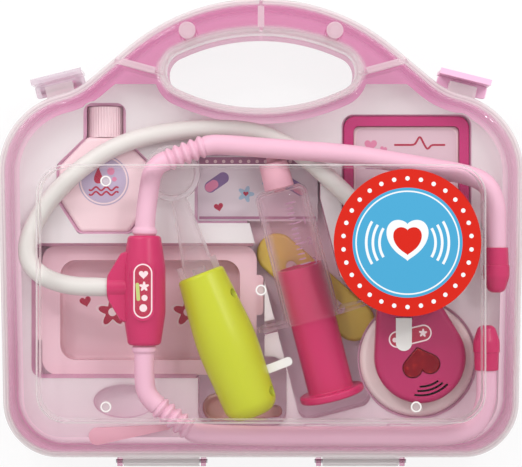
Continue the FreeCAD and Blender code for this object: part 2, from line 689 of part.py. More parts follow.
def ear_tip(label, place):
    collar, bulb, bore = size("tip_collar"), size("tip_radius"), size("arm_radius") + size("socket_play")
    deep, length = size("tip_socket") + 0.2, size("tip_length")
    profile = [(bore, 0, 0), (collar, 0, 0.4), (collar + 0.3, 8.8, 0.2), (bulb, 9, 0.6), (bulb, 14.5, 5),
               (4, length, 3.5), (0, length, 0), (0, deep, 0), (bore, deep, 0)]
    ship(turned(label + "_bulb", profile, place), label)


def yoke():
    """The Y-piece: a barrel with a socket at each end and a stub for the hose, split front and back."""
    x, low, high, level = size("yoke_x"), size("yoke_bottom"), size("yoke_top"), size("arm_level")
    length, full, end = high - low, size("yoke_radius"), size("yoke_end_radius")
    profile = [(0, 0, 0), (end, 0, 2), (full, 16, 25), (full, length - 16, 25), (end, length, 2),
               (0, length, 0)]
    barrel = turned("yoke_barrel", profile, along_y(x, low, level))
    stub_place = along_x(size("stub_x"), size("stub_y"), level)
    stub = rod("yoke_stub", "sizes.stub_radius", "sizes.yoke_x - sizes.stub_x", stub_place)
    badge = slab("yoke_badge", belt(x, low + 18, 5.5, x, high - 18, 5.5), "sizes.arm_level + 5",
                 "sizes.yoke_radius - 4.6")
    socket = "sizes.arm_radius + sizes.socket_play"
    deep = size("yoke_socket") + 0.2
    bores = [
        rod("yoke_passage", "sizes.arm_bore", str(length), along_y(x, low, level)),
        rod("yoke_socket_low", socket, str(deep + 1), along_y(x, low - 1, level)),
        rod("yoke_socket_high", socket, str(deep + 1), along_y(x, high - deep, level)),
        rod("stub_socket", "sizes.hose_radius + sizes.socket_play", "sizes.stub_socket + 1",
            along_x(size("stub_x") - 1, size("stub_y"), level)),
        rod("stub_passage", "sizes.arm_bore", "sizes.yoke_x - sizes.stub_x", stub_place),
    ]
    whole = cut("yoke_whole", fuse("yoke_blank", barrel, stub, badge), *bores)
    for label, shift in (("yoke_front", 0), ("yoke_back", -20)):
        half = block(label + "_half", "60", "80", "20", at(x - 40, low - 10, level + shift))
        ship(common(label + "_cut", whole, half), label)


def hose_route():
    """Corners of the white hose from the yoke's stub round the left wall to the chest piece."""
    flat, level, end = size("hose_level"), size("arm_level"), size("stem_level")
    stem = (Vector(size("drop_end_x"), size("drop_end_y"), end) - stem_end()).normalize()
    return [
        Vector(size("stub_x") + size("stub_socket"), size("stub_y"), level), Vector(-82, -26.8, level),
        Vector(-96, -26.2, level - 0.8), Vector(-109.5, -22.4, level - 2.7),
        Vector(-118.6, -15.5, level - 5.3), Vector(-121, -5.5, flat + 2.8), Vector(-116.6, 6.4, flat),
        Vector(-104.6, 21.5, flat), Vector(-88.4, 35.4, flat), Vector(-70.3, 46, flat),
        Vector(-47.6, 51.6, flat), Vector(-23.1, 53.4, flat), Vector(-1, 51.7, flat), Vector(16.6, 43, flat),
        Vector(30.2, 32, flat), Vector(43, 19.8, flat), Vector(54.5, 8, flat),
        stem_end() - stem * 7.5, stem_end() + stem * (size("stem_socket") - 0.8),
    ]


def stem_end():
    return Vector(size("stem_end_x"), size("stem_end_y"), size("stem_level"))


def cord_wire(points):
    """Straight runs joined by tangent arcs, each as wide as its shorter run allows."""
    stops = [(points[0], None, points[0])]
    for before, here, after in zip(points, points[1:], points[2:]):
        back, ahead = (before - here), (after - here)
        shorter = min(back.Length, ahead.Length)
        back.normalize()
        ahead.normalize()
        turn = math.pi - back.getAngle(ahead)
        if turn < 0.002:
            stops.append((here, None, here))
            continue
        reach = 0.45 * shorter
        radius = reach / math.tan(turn / 2)
        middle = (back + ahead).normalize() * (radius / math.cos(turn / 2) - radius)
        stops.append((here + back * reach, here + middle, here + ahead * reach))
    stops.append((points[-1], None, points[-1]))
    edges = []
    for (start, middle, end), following in zip(stops, stops[1:] + [None]):
        if middle is not None:
            edges.append(Part.Arc(start, middle, end).toShape())
        if following is not None and (following[0] - end).Length > 1e-6:
            edges.append(Part.LineSegment(end, following[0]).toShape())
    return Part.Wire(edges)


def chest_hose():
    points = hose_route()
    wire = cord_wire(points)
    ring = Part.Wire(Part.Circle(points[0], points[1] - points[0], size("hose_radius")).toShape())
    tube = wire.makePipeShell([ring], True, False)
    print("hose length", round(wire.Length, 1))
    hose = doc.addObject("Part::Feature", "hose_tube")
    hose.Shape = tube
    ship(hose, "chest_hose")


# Chest piece


def drop(inset):
    return belt(size("drop_x"), size("drop_y"), size("drop_radius") - inset,
                size("drop_end_x"), size("drop_end_y"), size("drop_end_radius") - inset)


def heart(grow):
    """A heart about the button's middle with its tip towards the stem."""
    drop_end = Vector(size("drop_end_x"), size("drop_end_y"), 0)
    tip_way = (drop_end - Vector(size("heart_x"), size("heart_y"), 0)).normalize()
    across = Vector(tip_way.y, -tip_way.x, 0)
    middle = Vector(size("heart_x"), size("heart_y"), 0)
    spread, lobe, tip = size("heart_spread"), size("heart_lobe"), size("heart_tip")
    lean = math.atan2(spread, tip) + math.asin(lobe / math.hypot(spread, tip))
    lobe += grow
    tip += grow / math.sin(lean)
    cusp = math.sqrt(lobe * lobe - spread * spread)
    cusp_angle = math.atan2(-cusp, -spread)

    def spot(u, v):
        return middle + across * u + tip_way * v

    def on_lobe(side, angle):
        return spot(side * (spread + lobe * math.cos(angle)), lobe * math.sin(angle))

    outline = []
    half_way = (lean + cusp_angle) / 2
    outline.append(Part.LineSegment(spot(0, tip), on_lobe(1, lean)))
    outline.append(Part.Arc(on_lobe(1, lean), on_lobe(1, half_way), spot(0, -cusp)))
    outline.append(Part.Arc(spot(0, -cusp), on_lobe(-1, half_way), on_lobe(-1, lean)))
    outline.append(Part.LineSegment(on_lobe(-1, lean), spot(0, tip)))
    return outline


def ring_slot(x, y, radius, width, middle, half_angle):
    """A slot bent round a centre."""
    def spot(reach, angle):
        turn = math.radians(angle)
        return Vector(x + reach * math.cos(turn), y + reach * math.sin(turn), 0)

    inner, outer = radius - width / 2, radius + width / 2
    first, last = middle - half_angle, middle + half_angle
    return [
        Part.Arc(spot(inner, first), spot(inner, middle), spot(inner, last)),
        Part.LineSegment(spot(inner, last), spot(outer, last)),
        Part.Arc(spot(outer, last), spot(outer, middle), spot(outer, first)),
        Part.LineSegment(spot(outer, first), spot(inner, first)),
    ]


def chest_bosses():
    return [size("drop_x") - size("boss_reach"), size("drop_x") + size("boss_reach")]


def chestpiece_base():
    """The white drum: an open cavity, posts for the board and a stepped hole for the battery door."""
    x, y, low, rim = size("chest_x"), size("chest_y"), size("chest_low"), size("chest_rim")
    full, cavity, floor = size("chest_radius"), size("chest_cavity"), size("chest_low") + size("chest_floor")
    profile = [(0, low, 0), (full, low, 5), (full, rim, 3), (cavity, rim, 0), (cavity, floor, 0.4),
               (0, floor, 0)]
    solids = [turned("drum", profile, at(x, y, 0))]
    for turn in (60, 120, 240, 300):
        angle = math.radians(turn)
        solids.append(rod("board_post", "2.2", "sizes.board_level - sizes.chest_low - 1",
                          at(x + 17 * math.cos(angle), y + 17 * math.sin(angle), low + 1)))
    tools = [rod("door_seat", "sizes.door_radius + 0.15", "sizes.door_depth + 1.05", at(x, y, low - 1)),
             rod("door_hole", "sizes.door_radius - 1.4", "8", at(x, y, low - 1))]
    for boss_x in chest_bosses():
        under = at(boss_x, size("drop_y"), low - 1)
        tools.append(rod("base_screw_hole", "sizes.screw_radius + 0.3", "8", under))
        tools.append(rod("base_screw_seat", "sizes.screw_head + 0.3", "2.1", under))
    ship(cut("drum_cut", fuse("drum_blank", *solids), *tools), "chestpiece_base")


def chestpiece_cover():
    """The teardrop: hollow, with the heart opening, speaker slots, screw bosses and the hose stem."""
    wall, rim, top = size("drop_wall"), size("chest_rim"), size("chest_top")
    outer = slab("drop_outer", drop(0), "sizes.chest_rim", "sizes.chest_top - sizes.chest_rim")
    round_rim(outer, top, "sizes.drop_round")
    inner = slab("drop_inner", drop(wall), "sizes.chest_rim + sizes.drop_wall",
                 "sizes.chest_top - sizes.chest_rim - 2 * sizes.drop_wall")
    round_rim(inner, top - wall, "sizes.drop_round - sizes.drop_wall")
    tail = Vector(size("drop_end_x"), size("drop_end_y"), size("stem_level"))
    stem_way = aimed(stem_end(), tail)
    reach = (tail - stem_end()).Length + 3
    stem = rod("stem", "sizes.stem_radius", str(reach), stem_way)
    tools = [inner, rod("drop_mouth", "sizes.chest_cavity", "sizes.drop_wall + 2",
                        at(size("chest_x"), size("chest_y"), rim - 1)),
             slab("heart_opening", heart(size("heart_gap")), "sizes.chest_top - 4", "6"),
             rod("stem_socket", "sizes.hose_radius + sizes.socket_play", "sizes.stem_socket + 1",
                 stem_way.multiply(at(0, 0, -1))),
             rod("stem_passage", "sizes.arm_bore", str(reach), stem_way),
             block("tab_slot", "sizes.tab_width + 0.8", "0.8", "6",
                   at(size("tab_left") - 0.4, size("tab_high") - 0.5, top - 3))]
    for radius, half_angle in ((14.4, 20), (16.6, 24), (18.8, 28)):
        tools.append(slab("sound_slot", ring_slot(size("drop_x"), size("drop_y"), radius, 1.1, -72, half_angle),
                          "sizes.chest_top - 4", "6"))
    shell = cut("drop_shell", fuse("drop_blank", outer, stem), *tools)
    bosses, holes = [], []
    low = size("chest_low") + size("chest_floor") + 0.05
    for boss_x in chest_bosses():
        boss_place = at(boss_x, size("drop_y"), low)
        bosses.append(rod("drop_boss", "sizes.boss_radius", str(top - 1 - low), boss_place))
        holes.append(rod("boss_hole", "sizes.screw_radius", "12", at(boss_x, size("drop_y"), low - 1)))
    ship(cut("drop_drilled", fuse("drop_bossed", shell, *bosses), *holes), "chestpiece_cover")


def heart_button():
    plate = slab("heart_plate", heart(size("heart_flange")), "sizes.heart_low", "1.6")
    face = slab("heart_face", heart(0), "sizes.heart_low", "sizes.heart_level - sizes.heart_low")
    round_rim(face, size("heart_level"), "0.6")
    ship(fuse("heart_joined", plate, face), "heart_button")
    low = size("board_level") + size("board_depth")
    high = size("heart_low") - 0.05
    profile = [(5.5, low, 0), (6.3, low, 0), (3.8, high - 1.4, 0.5), (3.8, high, 0.3), (0, high, 0),
               (0, high - 1, 0),
               (3, high - 1, 0.4), (3, high - 1.4, 0.4)]
    ship(turned("dome", profile, at(size("heart_x") - 1, size("heart_y") + 3.7, 0)), "button_dome")


def chestpiece_inside():
    x, y = size("chest_x"), size("chest_y")
    board_top = size("board_level") + size("board_depth")
    board = slab("board", circle(x, y, size("board_radius")), "sizes.board_level", "sizes.board_depth")
    notches = [rod("board_notch", "sizes.boss_radius + 0.5", "4", at(boss_x, size("drop_y"), board_top - 3))
               for boss_x in chest_bosses()]
    chip = block("board_chip", "7", "7", "1.6", at(x - 3.5, y + 8, board_top - 0.2))
    coil = rod("board_coil", "1.8", "3", at(x + 8, y + 9, board_top - 0.2))
    ship(fuse("board_built", cut("board_cut", board, *notches), chip, coil), "sound_board")
    can = [(0, 0, 0), (6, 0, 0.5), (6, 3.4, 0.5), (5.2, 4.4, 0.3), (4.4, 3.6, 0.3), (0, 3.6, 0)]
    ship(turned("speaker_can", can,
                at(x + 4.8, y - 12.1, board_top)), "speaker")
    floor = size("chest_low") + size("chest_floor") + 0.05
    cells = []
    for turn in (90, 210, 330):
        angle = math.radians(turn)
        cells.append(rod("cell", "sizes.cell_radius", "sizes.cell_depth",
                         at(x + 6.9 * math.cos(angle), y + 6.9 * math.sin(angle), floor)))
    ship(fuse("cells", *cells), "button_cells")
    door = turned("door_disc", [(0, 0, 0), (size("door_radius"), 0, 0.3),
                                (size("door_radius"), size("door_depth"), 0),
                                (0, size("door_depth"), 0)], at(x, y, size("chest_low")))
    slot = block("door_slot", "12", "1.6", "1.4", at(x - 6, y - 0.8, size("chest_low") - 0.8))
    ship(cut("door_cut", door, slot), "battery_door")
    screws = [screw(at(boss_x, size("drop_y"), size("chest_low") + 0.2), 10) for boss_x in chest_bosses()]
    ship(fuse("chest_screw_pair", *screws), "chestpiece_screws")


def screw(place, length):
    """A pan head screw with a cross slot, its head at the placement."""
    radius, head = size("screw_radius") - 0.02, size("screw_head")
    shank = turned("screw_shank", [(0, 0, 0), (head, 0, 0.6), (head, 0.85, 0), (radius, 0.85, 0),
                                   (radius, length, 0.4), (0, length, 0)], place)
    slots = [block("screw_slot", "3", "0.6", "0.9", place.multiply(at(-1.5, -0.3, -0.4))),
             block("screw_slot", "0.6", "3", "0.9", place.multiply(at(-0.3, -1.5, -0.4)))]
    return cut("screw", shank, *slots)


def chest_pull_tab():
    """A strip that lies on the teardrop, with its end bent down through the slot."""
    top, film = size("chest_top"), size("tab_film")
    left, high, low = size("tab_left"), size("tab_high"), size("tab_low")
    right, free_round = left + size("tab_width"), size("tab_width") / 2 - 0.1
    strip = slab("tab_strip", rounded([(left, high, 0), (right, high, 0), (right, low, free_round),
                                       (left, low, free_round)]), str(top + 0.05), "sizes.tab_film")
    leg = block("tab_leg", "sizes.tab_width", "sizes.tab_film", "5", at(left, high - film, top + film - 4.95))
    ship(fuse("tab", strip, leg), "chest_pull_tab")


# Light scope


def scope_profile(inset):
    low, wide, high = size("scope_low_radius"), size("scope_radius"), size("scope_high_radius")
    length = size("scope_length")
    return [(0, inset, 0), (low - inset, inset, 8 - inset), (wide - inset, size("scope_widest"), 120),
            (high - inset, length - inset, 2 if inset == 0 else 0), (0, length - inset, 0)]


def scope_screws_at():
    """Distance up the handle of the two screws, and how far they sit above its axis."""
    return [(9, -5), (61.7, -5)]


def scope_handle():
    whole = turned("scope_outer", scope_profile(0), scope_place())
    hollow = turned("scope_inner", scope_profile(size("scope_wall")), scope_place())
    mouth = rod("scope_mouth", "sizes.plug_radius + sizes.socket_play", "6",
                scope_place(size("scope_length") - 5))
    button_place = scope_place(size("switch_along")).multiply(along_y(0, 0, 0))
    opening = rod("switch_opening", "sizes.switch_radius + 0.4", "20", button_place)
    slit = block("tab_slit", "30", "0.8", "5.4", scope_place(17).multiply(at(0, -0.4, 0)))
    shell = cut("scope_shell", whole, hollow, mouth, opening, slit)
    bosses, holes, seats = [], [], []
    for along, above in scope_screws_at():
        place = scope_place(along).multiply(along_x(-9, above, 0))
        bosses.append(rod("scope_boss", "3", "18", place))
        holes.append(rod("scope_screw_hole", "sizes.screw_radius", "30", place.multiply(at(0, 0, 1))))
        seats.append(rod("scope_screw_seat", "sizes.screw_head + 0.3", "20", place.multiply(at(0, 0, 16.2))))
    core = turned("scope_core", scope_profile(0.5), scope_place())
    inside = common("scope_bosses", fuse("scope_posts", *bosses), core)
    full = cut("scope_full", fuse("scope_bossed", shell, inside), *(holes + seats))
    for label, left in (("scope_handle_left", -40), ("scope_handle_right", 0)):
        half = block(label + "_half", "40", "80", "100", scope_place(-10).multiply(at(left, -40, 0)))
        ship(common(label + "_cut", full, half), label)
    screws = []
    for along, above in scope_screws_at():
        head = scope_place(along).multiply(at(8.1, above, 0)).multiply(at(0, 0, 0, Vector(0, 1, 0), -90))
        screws.append(screw(head, 12))
    ship(fuse("scope_screw_pair", *screws), "scope_screws")


def scope_inside():
    cells = [rod("scope_cell", "sizes.cell_radius", "sizes.cell_depth - 0.1",
                 scope_place(18 + size("cell_depth") * number)) for number in range(3)]
    ship(fuse("scope_cell_stack", *cells), "scope_cells")
    lamp = turned("lamp", [(0, 0, 0), (3, 0, 0), (3, 1.2, 0.2), (2.5, 1.2, 0), (2.5, 6.5, 2.4), (0, 6.5, 0)],
                  scope_place(size("scope_length") - 9))
    legs_at = scope_place(size("scope_length") - 22.8)
    legs = [rod("lamp_leg", "0.4", "14", legs_at.multiply(at(0, side * 1.2, 0)))
            for side in (-1, 1)]
    ship(fuse("lamp_wired", lamp, *legs), "scope_led")
    radius, lift = size("switch_radius"), size("switch_lift")
    high = size("scope_radius") - 0.3 + lift
    low = size("scope_radius") - size("scope_wall") - 3.6
    profile = [(0, low, 0), (radius + 1.4, low, 0), (radius + 1.4, low + 1.2, 0), (radius, low + 1.2, 0),
               (radius, high, 1), (0, high, 0)]
    switch_place = scope_place(size("switch_along")).multiply(along_y(0, 0, 0))
    ship(turned("switch_cap", profile, switch_place), "scope_button")
    tab_place = scope_place(17.5).multiply(at(10.5, 0.15, 0, Vector(1, 0, 0), 90))
    tab_corners = rectangle(0, 0, size("scope_tab_length"), size("scope_tab_width"), 2)
    tab = slab("scope_tab", rounded(tab_corners), "0", "sizes.tab_film", place=tab_place)
    ship(tab, "scope_pull_tab")


def scope_head():
    """The clear head: a plug, a faceted base, a tapering neck and a round lens."""
    top = scope_place(size("scope_length")).Base
    lens = Vector(size("lens_x"), size("lens_y"), size("lens_level"))
    way = aimed(top, lens)
    reach = (lens - top).Length
    plug = rod("head_plug", "sizes.plug_radius - 0.05", "4.8", scope_place(size("scope_length") - 4.5))
    bore = rod("head_bore", "3.4", "8", scope_place(size("scope_length") - 5))
    facets = [(size("head_radius") * math.cos(math.radians(45 * side)),
               size("head_radius") * math.sin(math.radians(45 * side)), 0) for side in range(8, 0, -1)]
    base = slab("head_base", rounded(facets), "0.1", "6", place=scope_place(size("scope_length")))
    neck_end = reach - size("lens_radius") + 2
    neck_profile = [(0, 2, 0), (8.4, 2, 0), (7.6, 8, 4), (3.7, neck_end, 0), (0, neck_end, 0)]
    neck = turned("head_neck", neck_profile, way)
    half, radius = size("lens_depth") / 2, size("lens_radius")
    glass = turned("lens_disc", [(0, -half, 0), (5, -half, 12), (radius - 3.2, -half + 1.4, 0),
                                 (radius - 2.6, -half - 0.2, 0.4), (radius, -half - 0.2, 0.8),
                                 (radius, half + 0.2, 0.8), (radius - 2.6, half + 0.2, 0.4),
                                 (radius - 3.2, half - 1.4, 0), (5, half, 12), (0, half, 0)],
                   Placement(lens, Rotation()))
    ship(cut("head_bored", fuse("head_whole", plug, base, neck, glass), bore), "scope_head")


# Syringe


def syringe():
    length, radius, wall = size("barrel_length"), size("barrel_radius"), size("barrel_wall")
    wide = radius + size("barrel_spread")
    profile = [(3.05, 0, 0), (radius, 0, 4.5), (wide, length, 0), (wide - wall, length, 0),
               (radius - wall, 1.5, 3.2), (3.05, 1.5, 0)]
    tube = turned("barrel_tube", profile, syringe_place())
    flange = slab("barrel_flange", ellipse(0, 0, size("flange_half_width"), size("flange_half_depth")),
                  "sizes.barrel_length - 2", "sizes.flange_depth", place=flange_place())
    bore = rod("flange_bore", str(wide - wall - 0.03), "8", syringe_place(length - 2.5))
    ship(fuse("barrel", tube, cut("flange_cut", flange, bore)), "syringe_barrel")
    step, tip, out = size("nozzle_step"), size("nozzle_tip"), size("nozzle_length")
    collar, bore_radius, spigot = size("nozzle_radius"), 1.2, 3
    profile = [(bore_radius, -out, 0), (tip - 0.6, -out, 0.4), (tip, -step - 0.4, 0.3), (collar, -step, 0.8),
               (collar + 0.4, -0.05, 0.4), (spigot, -0.05, 0), (spigot, 1.4, 0), (bore_radius, 1.4, 0)]
    ship(turned("nozzle_turned", profile, syringe_place()), "syringe_nozzle")
    start, end, disc = size("plunger_start"), size("plunger_end"), size("plunger_disc")
    outer, thick = size("plunger_radius"), size("plunger_wall")
    inner = outer - thick
    profile = [(0, start + 4, 0), (inner, start + 4, 1), (inner, start, 0), (outer, start, 0.4),
               (outer, end - 4, 0.8), (disc, end - 4, 1.4), (disc, end, 1.4), (inner, end, 0.6),
               (inner, start + 5.6, 1), (0, start + 5.6, 0)]
    ship(turned("plunger_turned", profile, syringe_place()), "syringe_plunger")


def flange_place():
    """Own X level across the barrel, own Z down it."""
    way = (syringe_far() - syringe_start()).normalize()
    level = Vector(-way.y, way.x, 0).normalize()
    return Placement(syringe_start(), Rotation(level, way.cross(level), way, "ZXY"))


# Toys that lie in the tray


def ribbed(radius, depth, count):
    """A circle of fine ribs, drawn as alternating short lines."""
    points = []
    for step in range(2 * count):
        reach = radius - (depth if step % 2 else 0)
        angle = -math.pi * step / count
        points.append((reach * math.cos(angle), reach * math.sin(angle), 0))
    return rounded(points)


def bottle():
    x, low, high = size("bottle_x"), size("bottle_low"), size("bottle_high")
    floor, wall = size("pocket_level"), size("bottle_wall")
    level = floor + 0.1 + size("cap_radius")
    outer = slab("bottle_outer", rounded(bottle_outline(0)), "sizes.pocket_level + 0.05",
                 "sizes.bottle_depth")
    round_rim(outer, floor + 0.05, "2")
    round_rim(outer, floor + 0.05 + size("bottle_depth"), "2")
    inner = slab("bottle_inner", rounded(bottle_outline(-wall)), "sizes.pocket_level + 0.05 + sizes.bottle_wall",
                 "sizes.bottle_depth - 2 * sizes.bottle_wall")
    neck = rod("bottle_neck", "sizes.neck_radius", "14", along_y(x, high - 2, level))
    bore = rod("bottle_bore", "sizes.neck_radius - sizes.bottle_wall", "20", along_y(x, high - 6, level))
    ship(cut("bottle_hollow", fuse("bottle_blank", outer, neck), inner, bore), "bottle_body")
    cap = slab("cap_outer", ribbed(size("cap_radius"), 0.3, int(size("cap_ribs"))), "0", "sizes.cap_length",
               place=along_y(x, high + 0.1, level))
    cap_bore = rod("cap_bore", "sizes.neck_radius + 0.1", "14", along_y(x, high - 1, level))
    ship(cut("cap", cap, cap_bore), "bottle_cap")
    label = slab("label_disc", circle(x - 0.5, size("label_y"), size("label_radius")),
                 "sizes.pocket_level + 0.05 + sizes.bottle_depth", "sizes.label_film")
    ship(label, "bottle_label")


def medicine_box():
    x, y, low = size("box_x"), size("box_y"), size("pocket_level") + 0.05
    length, width, card = size("box_length"), size("box_width"), size("box_card")
    outer = block("box_outer", "sizes.box_length", "sizes.box_width", "sizes.box_depth",
                  at(x - length / 2, y - width / 2, low))
    inner_place = at(x - length / 2 + card, y - width / 2 + card, low + card)
    inner = block("box_inner", "sizes.box_length - 2 * sizes.box_card",
                  "sizes.box_width - 2 * sizes.box_card", "sizes.box_depth - 2 * sizes.box_card", inner_place)
    ship(cut("box_carton", outer, inner), "medicine_box")


def instrument_dish():
    x, y, low = size("dish_x"), size("dish_y"), size("pocket_level") + 0.05
    half_length, half_width, wall = size("dish_length") / 2, size("dish_width") / 2, size("dish_wall")
    top = low + size("dish_depth")
    rim_low, rim = str(top - wall), "sizes.dish_wall"
    left, right, back = x - half_length, x + half_length, y + half_width
    rim_plate = slab("dish_rim", rounded(rectangle(left, y - half_width, right, back, 8)), rim_low, rim)
    tabs = [slab("dish_tab", rounded(rectangle(left - 4, -54.6, left + 4, -26.4, 2)), rim_low, rim),
            slab("dish_tab", rounded(rectangle(right - 4, -41.8, right + 3.4, -21.3, 2)), rim_low, rim)]
    tub_corners = rectangle(-103, -64.9, -10.8, -13.6, 8)
    tub = slab("dish_tub", rounded(inset_corners(tub_corners, -wall)), str(low), str(top - low - 0.4))
    round_rim(tub, low, "3")
    hollow = slab("dish_hollow", rounded(tub_corners), str(low + wall), str(top - low + 2))
    round_rim(hollow, low + wall, "1.8")
    ship(cut("dish_formed", fuse("dish_blank", rim_plate, tub, *tabs), hollow), "instrument_dish")


def clipboard():
    left, low, level = size("chart_left"), size("chart_low"), size("tray_level") - 4.95
    right, high, border = left + size("chart_width"), low + size("chart_length"), size("chart_border")
    board = slab("chart_board", rounded(rectangle(left, low, right, high, 6)), str(level), "sizes.chart_depth")
    round_rim(board, level + size("chart_depth"), "1")
    window_corners = rectangle(left + border, low + border, right - border, high - border, 3)
    window = slab("chart_window", rounded(window_corners), str(level + size("chart_floor")), "8")
    ship(cut("chart_frame", board, window), "clipboard_frame")
    card = slab("chart_card", rounded(inset_corners(window_corners, 0.3)), str(level + size("chart_floor") + 0.02),
                "sizes.chart_paper")
    ship(card, "clipboard_card")


def thermometer():
    x, y, slope = size("stick_x"), size("stick_y"), size("stick_slope")
    low = size("pocket_level") + 0.05
    end_round = size("stick_width") / 2 - 0.1
    outline = turned_rectangle(x, y, size("stick_length"), size("stick_width"), slope, end_round)
    body = slab("stick", rounded(outline), str(low), "sizes.stick_depth")
    round_rim(body, low + size("stick_depth"), "2")
    window = slab("stick_window", rounded(turned_rectangle(x, y, 40, 6, slope, 2.9)),
                  str(low + size("stick_depth") - 0.8), "2")
    ship(cut("stick_cut", body, window), "thermometer")


def small_tools():
    level = size("tray_level") + 0.05
    blade_corners = [(-88.6, -98.8, 4), (-46, -97, 0.8), (-46, -99.2, 0.8), (-86, -108, 4)]
    blade = slab("spatula_blade", rounded(blade_corners),
                 str(level), "2.4")
    ship(blade, "spatula")
    low = size("pocket_level") + 0.05
    spoon = slab("spoon_blank", belt(-23, -90, 7.2, 8, -92, 3), str(low), "4.6")
    round_rim(spoon, low + 4.6, "1")
    bowl = rod("spoon_bowl", "5.6", "6", at(-23, -90, low + 1.6))
    ship(cut("spoon", spoon, bowl), "medicine_spoon")


builders = [rear_shell, front_cover, hinge_pins, front_sticker, insert_tray, yoke, chest_hose, chestpiece_base,
            chestpiece_cover, heart_button, chestpiece_inside, chest_pull_tab, scope_handle, scope_inside,
            scope_head, syringe, bottle, medicine_box, instrument_dish, clipboard, thermometer, small_tools]
for build in builders:
    build()
latch(-1, "latch_left")
latch(1, "latch_right")
arm("upper_arm", upper_route(), 2)
arm("lower_arm", lower_route(), 1)
ear_tip("ear_tip_upper", along_y(size("upper_tip_x"), size("upper_tip_y"), size("arm_level"), back=True))
ear_tip("ear_tip_lower", along_y(size("lower_tip_x"), size("lower_tip_y"), size("arm_level")))
doc.recompute()

faults = [item.Name for item in doc.Objects if {"Invalid", "Error"} & set(item.State)]
faults += [piece.Label for piece in pieces if piece.Shape.isNull() or not piece.Shape.isValid()]
if faults:
    raise RuntimeError("not built: " + ", ".join(faults))
for piece in pieces:
    print(piece.Label, len(piece.Shape.Solids), round(piece.Shape.Volume))
os.makedirs("parts", exist_ok=True)
for piece in pieces:
    piece.Shape.exportStep("parts/%s.step" % piece.Label)
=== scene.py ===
import math

import bpy
import numpy as np
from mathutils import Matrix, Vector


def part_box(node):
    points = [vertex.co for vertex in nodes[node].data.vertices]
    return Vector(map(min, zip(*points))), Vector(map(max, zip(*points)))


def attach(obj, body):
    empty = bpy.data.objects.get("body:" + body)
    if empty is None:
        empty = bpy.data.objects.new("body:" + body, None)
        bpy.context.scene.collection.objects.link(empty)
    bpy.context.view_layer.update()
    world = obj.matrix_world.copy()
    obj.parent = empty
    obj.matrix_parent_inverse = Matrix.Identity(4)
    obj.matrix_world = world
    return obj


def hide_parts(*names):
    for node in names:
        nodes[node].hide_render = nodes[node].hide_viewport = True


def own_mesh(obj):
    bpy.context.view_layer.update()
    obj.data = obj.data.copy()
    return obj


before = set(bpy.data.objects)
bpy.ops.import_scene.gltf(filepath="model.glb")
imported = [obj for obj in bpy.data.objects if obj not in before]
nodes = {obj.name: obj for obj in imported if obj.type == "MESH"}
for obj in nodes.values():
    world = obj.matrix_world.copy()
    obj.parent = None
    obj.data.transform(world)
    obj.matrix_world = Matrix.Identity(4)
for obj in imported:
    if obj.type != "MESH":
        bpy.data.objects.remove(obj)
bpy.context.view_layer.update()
scene = bpy.context.scene
scene.view_settings.view_transform = "Standard"
scene.cycles.transparent_max_bounces = 32  # many clear walls lie behind each other
mm = 0.001

# helpers


def linear(hexText):
    # sRGB hex to linear red, green, blue and a full alpha
    values = np.array([int(hexText[i:i + 2], 16) for i in (1, 3, 5)]) / 255
    values = np.where(values <= 0.04045, values / 12.92, ((values + 0.055) / 1.055) ** 2.4)
    return (*values.tolist(), 1.0)


def addNode(tree, kind, inputs=None, **settings):
    # a node with its settings; an input is a value or another node's output
    node = tree.nodes.new(kind)
    for key, value in settings.items():
        setattr(node, key, value)
    for key, value in (inputs or {}).items():
        if isinstance(value, bpy.types.NodeSocket):
            tree.links.new(value, node.inputs[key])
        else:
            node.inputs[key].default_value = value
    return node


def newMaterial(name):
    # an empty node material and its output
    material = bpy.data.materials.new(name)
    material.use_nodes = True
    material.node_tree.nodes.clear()
    output = addNode(material.node_tree, "ShaderNodeOutputMaterial")
    return material, material.node_tree, output


def perMm(size):
    # noise and voronoi scale for a feature this many millimetres wide
    return 1000.0 / size


def paint(material, *names):
    # gives pieces of the frame a material in place of their own
    for name in names:
        nodes[name].data.materials.clear()
        nodes[name].data.materials.append(material)


def meshObject(name, points, faces, material, body, smooth=True):
    # a piece with its place in its mesh, on a body and with one of the record's finishes
    mesh = bpy.data.meshes.new(name)
    mesh.from_pydata(points, [], faces)
    mesh.validate()
    mesh.polygons.foreach_set("use_smooth", [smooth] * len(mesh.polygons))
    mesh.materials.append(material)
    piece = bpy.data.objects.new(name, mesh)
    scene.collection.objects.link(piece)
    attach(piece, body)
    return piece


def gridFaces(rows, columns, loop=False):
    # quads of a grid that is closed round its columns, with a cap at each end or closed round its rows too
    count = rows if loop else rows - 1
    i, j = np.meshgrid(np.arange(count), np.arange(columns), indexing="ij")
    k, n = (j + 1) % columns, (i + 1) % rows
    quads = np.stack([i * columns + j, i * columns + k, n * columns + k, n * columns + j], axis=-1)
    faces = quads.reshape(-1, 4).tolist()
    if not loop:
        faces.append(list(range(columns))[::-1])
        faces.append([(rows - 1) * columns + c for c in range(columns)])
    return faces


def nurbsCurve(name, route, resolution):
    # a smooth NURBS curve of order 3 whose control points are the route, in millimetres
    curve = bpy.data.curves.new(name, "CURVE")
    curve.dimensions = "3D"
    curve.resolution_u = resolution
    spline = curve.splines.new("NURBS")
    spline.points.add(len(route) - 1)
    spline.points.foreach_set("co", np.c_[np.array(route) * mm, np.ones(len(route))].ravel())
    spline.order_u = 3  # set after the points, or the runs stay straight
    spline.use_endpoint_u = True
    return curve


def splinePoints(route, resolution):
    # the points along the route's NURBS curve
    curve = nurbsCurve("guide", route, resolution)
    guide = bpy.data.objects.new("guide", curve)
    line = bpy.data.meshes.new_from_object(guide)
    points = np.empty(len(line.vertices) * 3)
    line.vertices.foreach_get("co", points)
    bpy.data.objects.remove(guide)
    bpy.data.curves.remove(curve)
    bpy.data.meshes.remove(line)
    return points.reshape(-1, 3)


# camera, floor and light

